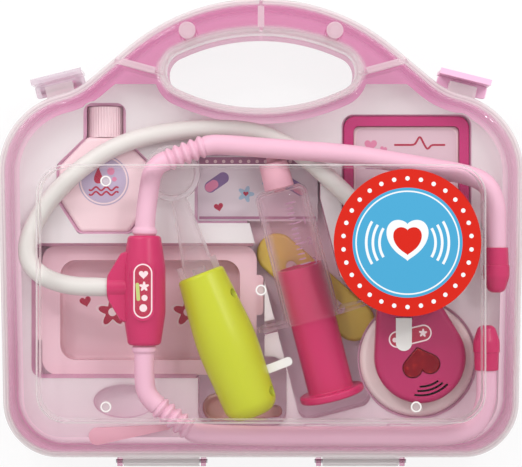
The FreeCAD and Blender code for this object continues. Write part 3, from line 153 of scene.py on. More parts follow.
cameraSettings = {"height": 0.93, "sensor": 36.0, "wide": 0.26309, "level": 0.030, "near": 0.01}
cameraData = bpy.data.cameras.new("camera")
cameraData.sensor_width = cameraSettings["sensor"]
reach = cameraSettings["height"] - cameraSettings["level"]
cameraData.lens = cameraSettings["sensor"] * reach / cameraSettings["wide"]
cameraData.clip_start = cameraSettings["near"]
camera = bpy.data.objects.new("camera", cameraData)
camera.location = (0, 0, cameraSettings["height"])
scene.collection.objects.link(camera)
scene.camera = camera

floorSettings = {"half": 3.0, "level": -0.0002, "card": "#F4F4F4", "glow": "#FFFFFF", "glowShare": 0.85}


def makeFloor():
    # white card: bright to the eye, and still takes the shadow of the case
    material, tree, output = newMaterial("whiteCard")
    path = addNode(tree, "ShaderNodeLightPath")
    seen = addNode(tree, "ShaderNodeMath", {0: path.outputs["Is Camera Ray"], 1: path.outputs["Is Glossy Ray"]},
                   operation="MAXIMUM")
    share = addNode(tree, "ShaderNodeMath", {0: seen.outputs[0], 1: floorSettings["glowShare"]}, operation="MULTIPLY")
    card = addNode(tree, "ShaderNodeBsdfDiffuse", {"Color": linear(floorSettings["card"])})
    glow = addNode(tree, "ShaderNodeEmission", {"Color": linear(floorSettings["glow"]), "Strength": 1.0})
    mix = addNode(tree, "ShaderNodeMixShader", {0: share.outputs[0], 1: card.outputs[0], 2: glow.outputs[0]})
    tree.links.new(mix.outputs[0], output.inputs["Surface"])
    half = floorSettings["half"]
    mesh = bpy.data.meshes.new("floor")
    mesh.from_pydata([(-half, -half, 0), (half, -half, 0), (half, half, 0), (-half, half, 0)], [], [(0, 1, 2, 3)])
    mesh.materials.append(material)
    floor = bpy.data.objects.new("floor", mesh)
    floor.location.z = floorSettings["level"]
    scene.collection.objects.link(floor)


lightSettings = {
    "room": 0.75, "roomColour": "#FFFFFF",
    "lamps": {  # place, width and power
        "boxLeft": ((-0.55, 0.65, 0.65), 0.5, 3.45),
        "boxRight": ((0.55, 0.6, 0.65), 0.5, 2.85),
        "sparkLeft": ((-0.30, 0.55, 0.85), 0.08, 1.0),  # small lamps give crisp glints
        "sparkRight": ((0.45, 0.35, 0.85), 0.08, 1.0),
    },
}


def softBox(name, place, width, power):
    # a square lamp that faces the middle of the case
    light = bpy.data.lights.new(name, "AREA")
    light.shape = "RECTANGLE"
    light.size = light.size_y = width
    light.energy = power
    lamp = bpy.data.objects.new(name, light)
    lamp.location = place
    way = np.array(place) / np.linalg.norm(place)
    lamp.rotation_euler = (math.acos(way[2]), 0, math.atan2(way[1], way[0]) + math.pi / 2)
    scene.collection.objects.link(lamp)


def makeLight():
    # an even white room and four lamps above the handle
    world = bpy.data.worlds.new("studio")
    world.use_nodes = True
    background = world.node_tree.nodes["Background"]
    background.inputs["Color"].default_value = linear(lightSettings["roomColour"])
    background.inputs["Strength"].default_value = lightSettings["room"]
    scene.world = world
    for name, (place, width, power) in lightSettings["lamps"].items():
        softBox(name, place, width, power)


makeFloor()
makeLight()
print("stage ready")

# materials

plasticSettings = {"cloud": 40, "cloudDetail": 3.0, "grainDetail": 2.0, "depth": 0.2, "wear": 0.06, "specular": 0.3}


def mouldedPlastic(name, colour, shade, rough=0.32, grain=0.7, bump=0.05):
    # injection moulded plastic: even colour with a faint cloud, a fine pebbled skin and a soft gloss
    material, tree, output = newMaterial(name)
    where = addNode(tree, "ShaderNodeTexCoord").outputs["Object"]
    cloud = addNode(tree, "ShaderNodeTexNoise", {"Vector": where, "Scale": perMm(plasticSettings["cloud"]),
                                                 "Detail": plasticSettings["cloudDetail"]})
    tint = addNode(tree, "ShaderNodeMix", {0: cloud.outputs["Fac"], 6: linear(colour), 7: linear(shade)},
                   data_type="RGBA")
    pebble = addNode(tree, "ShaderNodeTexNoise", {"Vector": where, "Scale": perMm(grain),
                                                  "Detail": plasticSettings["grainDetail"]})
    skin = addNode(tree, "ShaderNodeBump", {"Height": pebble.outputs["Fac"], "Strength": bump,
                                            "Distance": plasticSettings["depth"] * mm})
    wear = addNode(tree, "ShaderNodeMapRange", {0: cloud.outputs["Fac"], 3: rough - plasticSettings["wear"],
                                                4: rough + plasticSettings["wear"]})
    shader = addNode(tree, "ShaderNodeBsdfPrincipled", {
        "Base Color": tint.outputs[2], "Roughness": wear.outputs[0], "Specular IOR Level": plasticSettings["specular"],
        "Normal": skin.outputs[0]})
    tree.links.new(shader.outputs[0], output.inputs["Surface"])
    return material


skinSettings = {"flow": 30, "flowDetail": 1.0, "depth": 2.0, "blend": 0.5, "power": 5.0, "gloss": "#FFFFFF"}


def clearSkin(tree, output, share, body, tint, rough=0.06, ripple=0.04, leastGloss=0.008, mostGloss=0.35):
    # a thin clear wall: what lies behind shows through, a share is body colour, and the gloss of both its
    # faces grows with (1 - cos)^5 from the least to the most
    where = addNode(tree, "ShaderNodeTexCoord").outputs["Object"]
    flow = addNode(tree, "ShaderNodeTexNoise", {"Vector": where, "Scale": perMm(skinSettings["flow"]),
                                                "Detail": skinSettings["flowDetail"]})
    skin = addNode(tree, "ShaderNodeBump", {"Height": flow.outputs["Fac"], "Strength": ripple,
                                            "Distance": skinSettings["depth"] * mm})
    see = addNode(tree, "ShaderNodeBsdfTransparent", {"Color": linear(tint) if isinstance(tint, str) else tint})
    wall = addNode(tree, "ShaderNodeMixShader", {0: share, 1: see.outputs[0], 2: body})
    facing = addNode(tree, "ShaderNodeLayerWeight", {"Blend": skinSettings["blend"], "Normal": skin.outputs[0]})
    steep = addNode(tree, "ShaderNodeMath", {0: facing.outputs["Facing"], 1: skinSettings["power"]}, operation="POWER")
    gloss = addNode(tree, "ShaderNodeMapRange", {0: steep.outputs[0], 2: mostGloss, 3: leastGloss, 4: mostGloss})
    shine = addNode(tree, "ShaderNodeBsdfAnisotropic", {"Color": linear(skinSettings["gloss"]), "Roughness": rough,
                                                        "Normal": skin.outputs[0]})
    mix = addNode(tree, "ShaderNodeMixShader", {0: gloss.outputs[0], 1: wall.outputs[0], 2: shine.outputs[0]})
    tree.links.new(mix.outputs[0], output.inputs["Surface"])


def milkyBody(tree, colour, spread):
    # milky plastic: partly lit from outside and partly glowing with light from behind
    milk = addNode(tree, "ShaderNodeBsdfDiffuse", {"Color": colour})
    glow = addNode(tree, "ShaderNodeBsdfTranslucent", {"Color": colour})
    return addNode(tree, "ShaderNodeMixShader", {0: spread, 1: milk.outputs[0], 2: glow.outputs[0]}).outputs[0]


def upright(tree, level=0.97, steep=0.45):
    # 0 on a level face and 1 on a steep one, by the piece's own normal
    normal = addNode(tree, "ShaderNodeTexCoord").outputs["Normal"]
    parts = addNode(tree, "ShaderNodeSeparateXYZ", {0: normal})
    slope = addNode(tree, "ShaderNodeMath", {0: parts.outputs["Z"]}, operation="ABSOLUTE")
    return addNode(tree, "ShaderNodeMapRange", {0: slope.outputs[0], 1: level, 2: steep}).outputs[0]


def between(tree, low, high, atLow, atHigh, axis="Z"):
    # a value that goes from atLow to atHigh as a coordinate goes from low to high, in millimetres
    where = addNode(tree, "ShaderNodeTexCoord").outputs["Object"]
    height = addNode(tree, "ShaderNodeSeparateXYZ", {0: where}).outputs[axis]
    return addNode(tree, "ShaderNodeMapRange", {0: height, 1: low * mm, 2: high * mm, 3: atLow, 4: atHigh}).outputs[0]


coverSettings = {"tint": "#FFFFFF", "milk": "#F1EEED", "flat": 0.004, "wall": 0.68, "rib": 0.5, "ribTop": 43.0,
                 "level": 0.94, "steep": 0.6, "spread": 0.5, "mostGloss": 0.5,
                 "hole": (0.0, 81.1), "holeHalf": (47.2, 18.4), "ring": 1.26, "ringFade": 0.15, "ringHighlightShare": 0.5}


def nearHandHole(tree):
    # 1 within a ring round the hand hole, where the painted highlight lies: (x / a)^2 + ((y - y0) / b)^2 below the
    # ring's limit
    where = addNode(tree, "ShaderNodeTexCoord").outputs["Object"]
    (x, y), (a, b) = coverSettings["hole"], coverSettings["holeHalf"]
    shift = addNode(tree, "ShaderNodeVectorMath", {0: where, 1: (x * mm, y * mm, 0)}, operation="SUBTRACT")
    unit = addNode(tree, "ShaderNodeVectorMath", {0: shift.outputs[0], 1: (1 / (a * mm), 1 / (b * mm), 0)},
                   operation="MULTIPLY")
    square = addNode(tree, "ShaderNodeVectorMath", {0: unit.outputs[0], 1: unit.outputs[0]}, operation="DOT_PRODUCT")
    return addNode(tree, "ShaderNodeMapRange", {0: square.outputs["Value"], 1: coverSettings["ring"],
                                                2: coverSettings["ring"] - coverSettings["ringFade"]}).outputs[0]


def coverPlastic():
    # clear moulded polystyrene: level faces are see-through; walls, ribs and the hand hole's edge take a milky share, a
    # painted highlight of the pale edges of clear walls
    material, tree, output = newMaterial("clearPolystyrene")
    steep = upright(tree, coverSettings["level"], coverSettings["steep"])
    # painted highlight: steep walls and the ribs below ribTop take a milky share
    wall = addNode(tree, "ShaderNodeMapRange", {0: steep, 3: coverSettings["flat"], 4: coverSettings["wall"]})
    rib = between(tree, coverSettings["ribTop"], coverSettings["ribTop"] + 1, coverSettings["rib"], 0.0)
    # painted highlight: a milky ring round the hand hole's rounded edge
    ring = addNode(tree, "ShaderNodeMath", {0: nearHandHole(tree), 1: coverSettings["ringHighlightShare"]},
                   operation="MULTIPLY")
    share = addNode(tree, "ShaderNodeMath", {0: wall.outputs[0], 1: rib}, operation="MAXIMUM")
    share = addNode(tree, "ShaderNodeMath", {0: share.outputs[0], 1: ring.outputs[0]}, operation="MAXIMUM")
    body = milkyBody(tree, linear(coverSettings["milk"]), coverSettings["spread"])
    clearSkin(tree, output, share.outputs[0], body, coverSettings["tint"], mostGloss=coverSettings["mostGloss"])
    return material


shellSettings = {"handleTint": "#FAD6EA", "caseTint": "#FCEDF3", "handle": "#F2A3D0", "case": "#F3C6DC",
                 "wall": "#DD86BA", "lowWallShade": "#D254A4", "handleShare": 0.2, "caseShare": 0.1, "wallShare": 0.4,
                 "lowWallShadeShare": 0.55, "low": 50.0, "high": 72.0, "shadeLow": -70.0, "shadeHigh": -15.0,
                 "inwardFrom": -20.0, "inwardTo": -60.0, "spread": 0.4, "rough": 0.16}


def inward(tree):
    # 1 on a wall that faces the middle of the case: its normal dotted with its place is well below 0
    spot = addNode(tree, "ShaderNodeTexCoord")
    way = addNode(tree, "ShaderNodeVectorMath", {0: spot.outputs["Normal"], 1: spot.outputs["Object"]},
                  operation="DOT_PRODUCT")
    return addNode(tree, "ShaderNodeMapRange", {0: way.outputs["Value"], 1: shellSettings["inwardFrom"] * mm,
                                                2: shellSettings["inwardTo"] * mm}).outputs[0]


def shellPlastic():
    # pink polypropylene: pale where light passes straight through, pinker in the handle, magenta along its walls,
    # and a painted shade, deepest magenta and more opaque, on the lower inner walls
    material, tree, output = newMaterial("pinkPolypropylene")
    low, high = shellSettings["low"], shellSettings["high"]
    handle = between(tree, low, high, 0.0, 1.0, "Y")
    steep = upright(tree)
    flat = addNode(tree, "ShaderNodeMix", {0: handle, 6: linear(shellSettings["case"]),
                                           7: linear(shellSettings["handle"])}, data_type="RGBA")
    # painted shade: inward-facing walls in the lower part of the case turn deeper magenta and more opaque
    below = between(tree, shellSettings["shadeLow"], shellSettings["shadeHigh"], 1.0, 0.0, "Y")
    lower = addNode(tree, "ShaderNodeMath", {0: inward(tree), 1: below}, operation="MULTIPLY").outputs[0]
    wall = addNode(tree, "ShaderNodeMix", {0: lower, 6: linear(shellSettings["wall"]),
                                           7: linear(shellSettings["lowWallShade"])}, data_type="RGBA")
    colour = addNode(tree, "ShaderNodeMix", {0: steep, 6: flat.outputs[2], 7: wall.outputs[2]}, data_type="RGBA")
    tint = addNode(tree, "ShaderNodeMix", {0: handle, 6: linear(shellSettings["caseTint"]),
                                           7: linear(shellSettings["handleTint"])}, data_type="RGBA")
    flatShare = between(tree, low, high, shellSettings["caseShare"], shellSettings["handleShare"], "Y")
    wallShare = addNode(tree, "ShaderNodeMapRange", {0: lower, 3: shellSettings["wallShare"],
                                                     4: shellSettings["lowWallShadeShare"]})
    share = addNode(tree, "ShaderNodeMapRange", {0: steep, 3: flatShare, 4: wallShare.outputs[0]})
    body = milkyBody(tree, colour.outputs[2], shellSettings["spread"])
    clearSkin(tree, output, share.outputs[0], body, tint.outputs[2], shellSettings["rough"])
    return material


traySettings = {"tint": "#FAF0F5", "sheet": "#F7F1F2", "deep": "#FBE8F1", "step": "#EAB9D4", "share": 0.9,
                "bottomShadeShare": 0.38, "low": -100.0, "high": -20.0, "deepLevel": 8.0, "flatLevel": 21.0, "spread": 0.15,
                "rough": 0.2, "ripple": 0.1}


def traySheet():
    # formed vinyl sheet: milky white where it lies high, a painted pink shade in its steps, paler pink in its deep
    # pockets, and less milky towards the bottom, a painted shade
    material, tree, output = newMaterial("formedVinylSheet")
    depth = between(tree, traySettings["deepLevel"], traySettings["flatLevel"], 1.0, 0.0)
    floor = addNode(tree, "ShaderNodeMix", {0: depth, 6: linear(traySettings["sheet"]),
                                            7: linear(traySettings["deep"])}, data_type="RGBA")
    # painted shade: steep faces take a pink shade
    colour = addNode(tree, "ShaderNodeMix", {0: upright(tree), 6: floor.outputs[2], 7: linear(traySettings["step"])},
                     data_type="RGBA")
    body = milkyBody(tree, colour.outputs[2], traySettings["spread"])
    # painted shade: less milky towards the bottom of the case, so the sheet shows darker and pinker there
    share = between(tree, traySettings["low"], traySettings["high"], traySettings["bottomShadeShare"], traySettings["share"],
                    "Y")
    clearSkin(tree, output, share, body, traySettings["tint"], traySettings["rough"], traySettings["ripple"])
    return material


roundSettings = {"blend": 0.4, "faced": 0.2, "outline": 1.0, "spread": 0.5, "mostGloss": 0.6}


def roundClear(name, tint, milk, face, edge, rough=0.05):
    # clear plastic turned or moulded round: see-through when faced and pale along its outline, a painted highlight
    material, tree, output = newMaterial(name)
    facing = addNode(tree, "ShaderNodeLayerWeight", {"Blend": roundSettings["blend"]})
    # painted highlight: the milky share grows towards the outline
    share = addNode(tree, "ShaderNodeMapRange", {0: facing.outputs["Facing"], 1: roundSettings["faced"],
                                                 2: roundSettings["outline"], 3: face, 4: edge})
    body = milkyBody(tree, linear(milk), roundSettings["spread"])
    clearSkin(tree, output, share.outputs[0], body, tint, rough, mostGloss=roundSettings["mostGloss"])
    return material


redSettings = {"flake": 1.1, "flakeFrom": 0.8, "red": "#7A0418", "glitter": "#B02C28", "rough": 0.14, "specular": 0.12}


def sparkleRed():
    # dark see-through red styrene with flakes of glitter, about a millimetre wide
    material, tree, output = newMaterial("redStyrene")
    where = addNode(tree, "ShaderNodeTexCoord").outputs["Object"]
    flakes = addNode(tree, "ShaderNodeTexVoronoi", {"Vector": where, "Scale": perMm(redSettings["flake"])})
    pick = addNode(tree, "ShaderNodeSeparateColor", {0: flakes.outputs["Color"]})
    bright = addNode(tree, "ShaderNodeMapRange", {0: pick.outputs[0], 1: redSettings["flakeFrom"], 2: 1.0})
    colour = addNode(tree, "ShaderNodeMix", {0: bright.outputs[0], 6: linear(redSettings["red"]),
                                             7: linear(redSettings["glitter"])}, data_type="RGBA")
    shader = addNode(tree, "ShaderNodeBsdfPrincipled", {"Base Color": colour.outputs[2],
                                                        "Roughness": redSettings["rough"],
                                                        "Specular IOR Level": redSettings["specular"]})
    tree.links.new(shader.outputs[0], output.inputs["Surface"])
    return material


steelSettings = {"line": 0.6, "detail": 2.0, "smooth": 0.18, "dull": 0.38}


def brightSteel(name, colour):
    # drawn steel with fine lines
    material, tree, output = newMaterial(name)
    where = addNode(tree, "ShaderNodeTexCoord").outputs["Object"]
    lines = addNode(tree, "ShaderNodeTexNoise", {"Vector": where, "Scale": perMm(steelSettings["line"]),
                                                 "Detail": steelSettings["detail"]})
    rough = addNode(tree, "ShaderNodeMapRange", {0: lines.outputs["Fac"], 3: steelSettings["smooth"],
                                                 4: steelSettings["dull"]})
    shader = addNode(tree, "ShaderNodeBsdfPrincipled", {"Base Color": linear(colour), "Metallic": 1.0,
                                                        "Roughness": rough.outputs[0]})
    tree.links.new(shader.outputs[0], output.inputs["Surface"])
    return material


stickerSettings = {
    "radius": 36.1, "red": "#CC1D0B", "blue": "#459FC8", "white": "#E6E8EA",
    "disc": 0.745, "lineInner": 0.685, "lineOuter": 0.705,
    "dots": 30, "dotsAt": 0.872, "dotSize": 0.03, "heart": 0.25, "heartRed": 0.17,
    "arcs": (0.38, 0.47, 0.56), "arcHalf": 0.018, "arcSlope": 0.6,
    "fibre": 1.2, "fibreDetail": 2.0, "bump": 0.03, "depth": 0.2, "rough": 0.38, "specular": 0.2,
}


def insideHeart(tree, x, y, size):
    # 1 inside the heart (u^2 + v^2 - 1)^3 < u^2 v^3, where u = x / size and v = y / size
    value = {"x": x, "y": y, "size": size, "one": 1.0}
    for name, left, operation, right in (
            ("u", "x", "DIVIDE", "size"), ("v", "y", "DIVIDE", "size"), ("uu", "u", "MULTIPLY", "u"),
            ("vv", "v", "MULTIPLY", "v"), ("sum", "uu", "ADD", "vv"), ("ring", "sum", "SUBTRACT", "one"),
            ("square", "ring", "MULTIPLY", "ring"), ("cube", "square", "MULTIPLY", "ring"),
            ("both", "uu", "MULTIPLY", "vv"), ("dip", "both", "MULTIPLY", "v"), ("inside", "cube", "LESS_THAN", "dip")):
        value[name] = addNode(tree, "ShaderNodeMath", {0: value[left], 1: value[right]}, operation=operation).outputs[0]
    return value["inside"]


def ringOfDots(tree, x, y, radius):
    # 1 inside equal dots on a circle: the turn is cut into equal shares, each with a dot at its middle
    turn = addNode(tree, "ShaderNodeMath", {0: y, 1: x}, operation="ARCTAN2").outputs[0]
    part = addNode(tree, "ShaderNodeMath", {0: turn, 1: stickerSettings["dots"] / (2 * math.pi)},
                   operation="MULTIPLY").outputs[0]
    part = addNode(tree, "ShaderNodeMath", {0: part}, operation="FRACT").outputs[0]
    aside = addNode(tree, "ShaderNodeMath", {0: part, 1: 0.5}, operation="SUBTRACT").outputs[0]
    aside = addNode(tree, "ShaderNodeMath", {0: aside, 1: 2 * math.pi * stickerSettings["dotsAt"]
                                             / stickerSettings["dots"]}, operation="MULTIPLY").outputs[0]
    out = addNode(tree, "ShaderNodeMath", {0: radius, 1: stickerSettings["dotsAt"]}, operation="SUBTRACT").outputs[0]
    spot = addNode(tree, "ShaderNodeCombineXYZ", {0: aside, 1: out})
    gap = addNode(tree, "ShaderNodeVectorMath", {0: spot.outputs[0]}, operation="LENGTH").outputs["Value"]
    return addNode(tree, "ShaderNodeMath", {0: gap, 1: stickerSettings["dotSize"]}, operation="LESS_THAN").outputs[0]


def soundArcs(tree, x, y, radius):
    # 1 on thin arcs to the left and right of the heart: bands of radius where |y| is under a share of |x|
    wide = addNode(tree, "ShaderNodeMath", {0: x}, operation="ABSOLUTE").outputs[0]
    wide = addNode(tree, "ShaderNodeMath", {0: wide, 1: stickerSettings["arcSlope"]}, operation="MULTIPLY").outputs[0]
    high = addNode(tree, "ShaderNodeMath", {0: y}, operation="ABSOLUTE").outputs[0]
    total = addNode(tree, "ShaderNodeMath", {0: high, 1: wide}, operation="LESS_THAN").outputs[0]
    bands = 0.0
    for arc in stickerSettings["arcs"]:
        band = addNode(tree, "ShaderNodeMath", {0: radius, 1: arc, 2: stickerSettings["arcHalf"]},
                       operation="COMPARE").outputs[0]
        bands = addNode(tree, "ShaderNodeMath", {0: band, 1: bands}, operation="MAXIMUM").outputs[0]
    return addNode(tree, "ShaderNodeMath", {0: total, 1: bands}, operation="MULTIPLY").outputs[0]


def stickerPrint():
    # coated paper sticker: a red ring of dots round a blue disc with a heart and sound arcs
    low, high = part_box("front_sticker")
    middle = (low + high) / 2
    material, tree, output = newMaterial("coatedSticker")
    where = addNode(tree, "ShaderNodeTexCoord").outputs["Object"]
    shift = addNode(tree, "ShaderNodeVectorMath", {0: where, 1: (middle.x, middle.y, middle.z)}, operation="SUBTRACT")
    unit = 1 / (stickerSettings["radius"] * mm)
    flat = addNode(tree, "ShaderNodeVectorMath", {0: shift.outputs[0], 1: (unit, unit, 0)}, operation="MULTIPLY")
    radius = addNode(tree, "ShaderNodeVectorMath", {0: flat.outputs[0]}, operation="LENGTH").outputs["Value"]
    split = addNode(tree, "ShaderNodeSeparateXYZ", {0: flat.outputs[0]})
    x, y = split.outputs["X"], split.outputs["Y"]
    ramp = addNode(tree, "ShaderNodeValToRGB", {"Fac": radius})
    ramp.color_ramp.interpolation = "CONSTANT"
    bands = [(0.0, "blue"), (stickerSettings["lineInner"], "white"), (stickerSettings["lineOuter"], "blue"),
             (stickerSettings["disc"], "red")]
    while len(ramp.color_ramp.elements) < len(bands):
        ramp.color_ramp.elements.new(0.5)
    for element, (place, colour) in zip(ramp.color_ramp.elements, bands):
        element.position = place
        element.color = linear(stickerSettings[colour])
    marks = addNode(tree, "ShaderNodeMath", {0: ringOfDots(tree, x, y, radius), 1: soundArcs(tree, x, y, radius)},
                    operation="MAXIMUM").outputs[0]
    marks = addNode(tree, "ShaderNodeMath", {0: marks, 1: insideHeart(tree, x, y, stickerSettings["heart"])},
                    operation="MAXIMUM").outputs[0]
    inked = addNode(tree, "ShaderNodeMix", {0: marks, 6: ramp.outputs[0], 7: linear(stickerSettings["white"])},
                    data_type="RGBA")
    colour = addNode(tree, "ShaderNodeMix", {0: insideHeart(tree, x, y, stickerSettings["heartRed"]),
                                             6: inked.outputs[2], 7: linear(stickerSettings["red"])},
                     data_type="RGBA")
    fibre = addNode(tree, "ShaderNodeTexNoise", {"Vector": where, "Scale": perMm(stickerSettings["fibre"]),
                                                 "Detail": stickerSettings["fibreDetail"]})
    skin = addNode(tree, "ShaderNodeBump", {"Height": fibre.outputs["Fac"], "Strength": stickerSettings["bump"],
                                            "Distance": stickerSettings["depth"] * mm})
    shader = addNode(tree, "ShaderNodeBsdfPrincipled", {
        "Base Color": colour.outputs[2], "Roughness": stickerSettings["rough"],
        "Specular IOR Level": stickerSettings["specular"], "Normal": skin.outputs[0]})
    tree.links.new(shader.outputs[0], output.inputs["Surface"])
    return material


plastics = {  # colour, shade, roughness, grain and bump, and the pieces made of it
    "hotPinkAbs": (("#CB2E66", "#C2275E", 0.3),
                   ["yoke_front", "yoke_back", "ear_tip_upper", "ear_tip_lower", "syringe_plunger"]),
    "magentaAbs": (("#B32C62", "#AB255A", 0.34), ["chestpiece_cover"]),
    "frameMagentaAbs": (("#C43577", "#BC2E70", 0.36), ["clipboard_frame"]),
    "softPinkVinyl": (("#E9BACD", "#E3AFC5", 0.42, 0.5, 0.04), []),
    "softWhiteVinyl": (("#DEDAD6", "#D6D2CD", 0.4, 0.5, 0.04), []),
    "whiteAbs": (("#E8D6D4", "#E0CCCB", 0.34), ["chestpiece_base", "battery_door"]),
    "limeAbs": (("#C3CA2C", "#BBC226", 0.33), ["scope_handle_left", "scope_handle_right", "scope_button"]),
    "palePinkAbs": (("#E8B1C0", "#E1A7B7", 0.35), ["syringe_nozzle", "spatula"]),
    "blownPinkPolythene": (("#F9DEE3", "#F3D4DA", 0.42), ["bottle_body", "bottle_cap"]),
    "dustyPinkStyrene": (("#F1CBD5", "#EBC2CE", 0.38), ["instrument_dish"]),
    "yellowAbs": (("#E8D060", "#DFC654", 0.35), ["thermometer"]),
    "peachAbs": (("#F1C7BE", "#EABCB2", 0.38), ["medicine_spoon"]),
    "whiteFilm": (("#EDEBE8", "#E6E3E0", 0.45, 1.5, 0.02), ["chest_pull_tab", "scope_pull_tab"]),
    "pinkClipAbs": (("#F2C0DC", "#EAB4D3", 0.28), ["latch_right"]),
    "siliconeRubber": (("#C9C7C2", "#BFBDB8", 0.6), []),
    "boardLaminate": (("#2F6B3F", "#2A6038", 0.45), ["sound_board"]),
    "speakerCone": (("#2A2A2C", "#222224", 0.5), ["speaker"]),
    "lampEpoxy": (("#EFEDE2", "#E6E3D6", 0.15), ["scope_led"]),
    "coatedCarton": (("#E4DCE0", "#DCD2D8", 0.4, 2.0, 0.03), ["medicine_box"]),
    "printedCard": (("#E3C9D2", "#DCBFCA", 0.45, 2.0, 0.03), ["clipboard_card"]),
    "printedLabel": (("#C3B3CB", "#B9A9C4", 0.4, 2.0, 0.02), ["bottle_label"]),
}
clears = {  # tint, milk, its share when faced and along the outline (a painted highlight), and roughness; and the pieces made of it
    "clearStyreneTube": (("#FEF9FB", "#F6EAF0", 0.03, 0.62), ["syringe_barrel"]),
    "clearStyreneLens": (("#FBF8F9", "#F6F2F3", 0.16, 0.78), ["scope_head"]),
    "clearPolypropylene": (("#FBF5F9", "#E6DBE1", 0.35, 0.7, 0.2), ["latch_left"]),
    "frostedStyrene": (("#FFFFFF", "#F4F1F1", 0.35, 0.6, 0.25), []),
    # painted highlight for the lens rim, and painted light for the lens face
    "rimHighlightClear": (("#FFFFFF", "#F7F4F5", 0.3, 0.6, 0.2), []),
    "lensFacePaintedLight": (("#FFFFFF", "#F4EFF1", 0.16, 0.5), []),
    # painted highlight on the handle's ribs
    "ribHighlightStyrene": (("#FFFFFF", "#F6E4EB", 0.55, 0.8, 0.25), []),
}
inks = {  # printing ink: an even matt colour and its shade
    "mauve": ("#B784A0", "#AF7C98"), "plum": ("#8B6FA0", "#836898"), "crimson": ("#B8324F", "#B02B49"),
    "cream": ("#F3DDE0", "#EED5D9"), "lime": ("#C3CF7C", "#BBC874"), "sky": ("#A9C6DA", "#A1BED3"),
    "pink": ("#E08AAB", "#D881A3"),
}
plastic = {name: mouldedPlastic(name, *finish) for name, (finish, pieces) in plastics.items()}
clear = {name: roundClear(name, *finish) for name, (finish, pieces) in clears.items()}
ink = {name: mouldedPlastic(name + "Ink", *shades, 0.4, 2.0, 0.02) for name, shades in inks.items()}
trayVinyl = traySheet()
for name, (finish, pieces) in plastics.items():
    paint(plastic[name], *pieces)
for name, (finish, pieces) in clears.items():
    paint(clear[name], *pieces)
paint(coverPlastic(), "front_cover")
paint(shellPlastic(), "rear_shell")
paint(trayVinyl, "insert_tray")
paint(brightSteel("drawnSteel", "#B9B9BC"), "hinge_pins", "latch_pins", "chestpiece_screws", "scope_screws")
paint(brightSteel("nickelSteel", "#C6C5C2"), "button_cells", "scope_cells")
paint(stickerPrint(), "front_sticker")
paint(sparkleRed(), "heart_button")
print("materials ready")

# stethoscope hose

hoseSettings = {
    "radius": 4.7, "length": 0.307, "resolution": 12, "roundness": 6,
    "route": [
        (-68.6, -26.8, 37.5), (-82, -26.8, 37.5), (-96, -26.2, 36.7), (-108.5, -22.4, 34.8), (-116.6, -15.5, 32.2),
        (-118.4, -5.5, 29.6), (-113.8, 7.2, 26.8), (-103.2, 21.9, 26.8), (-88.4, 35.4, 26.8), (-70.3, 46, 26.8),
        (-47.6, 51.6, 26.8), (-23.1, 53.4, 26.8), (-1, 51.7, 26.8), (16.6, 43, 26.8), (30.2, 32, 26.8),
        (43, 19.8, 26.8), (54.5, 8, 26.8), (65.13, -3.24, 26.8), (69.04, -18.44, 26.8),
    ],
}


def makeHose():
    # a round hose along the route's NURBS curve
    route, radius = hoseSettings["route"], hoseSettings["radius"] * mm
    curve = nurbsCurve("chestHose", route, hoseSettings["resolution"])
    curve.bevel_depth = radius
    curve.bevel_resolution = hoseSettings["roundness"]
    curve.use_fill_caps = True
    curve.materials.append(plastic["softWhiteVinyl"])
    hose = bpy.data.objects.new("chestHose", curve)
    scene.collection.objects.link(hose)
    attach(hose, "case")
    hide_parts("chest_hose")


makeHose()

# stethoscope arms: a round tube carried along a smooth line, with the bellows as a wave in its radius

armSettings = {
    "level": 37.5, "radius": 5.0, "sides": 40, "step": 0.25, "resolution": 24,
    "crest": 5.75, "valley": 4.0, "ribs": 5, "ribSharp": 0.65, "ribFade": 0.6,
    "collar": 1.2, "collarAt": 9.0, "collarHalf": 1.7,
    "upper": [(-58.3, -8), (-58.2, 0), (-57.6, 10), (-55.6, 25), (-54, 31.5), (-50.5, 35.2), (-45, 37.3),
              (-36, 40.8), (-29.5, 43.3), (-25, 44.4), (-20, 44.5), (0, 42.95), (20, 41.4), (44, 39.6),
              (64, 36.4), (84, 32.9), (101, 30), (113.2, 25.6), (117.6, 14), (117.6, 4), (117.6, -12)],
    "upperRibs": [(-47, 36.55), (-27.9, 43.95)],
    "lower": [(-58.3, -48.8), (-58.3, -62), (-58.3, -74), (-57, -80.4), (-52.6, -85.3), (-46, -90.4),
              (-38, -96.4), (-33, -99.7), (-26, -100.45), (-10, -101), (10, -101.4), (40, -101.4), (76, -101.4),
              (93, -101.4), (107, -97.5), (112.7, -85), (112.7, -72), (112.7, -63.3)],
    "lowerRibs": [(-51.7, -86.05), (-35.3, -98.45)],
}


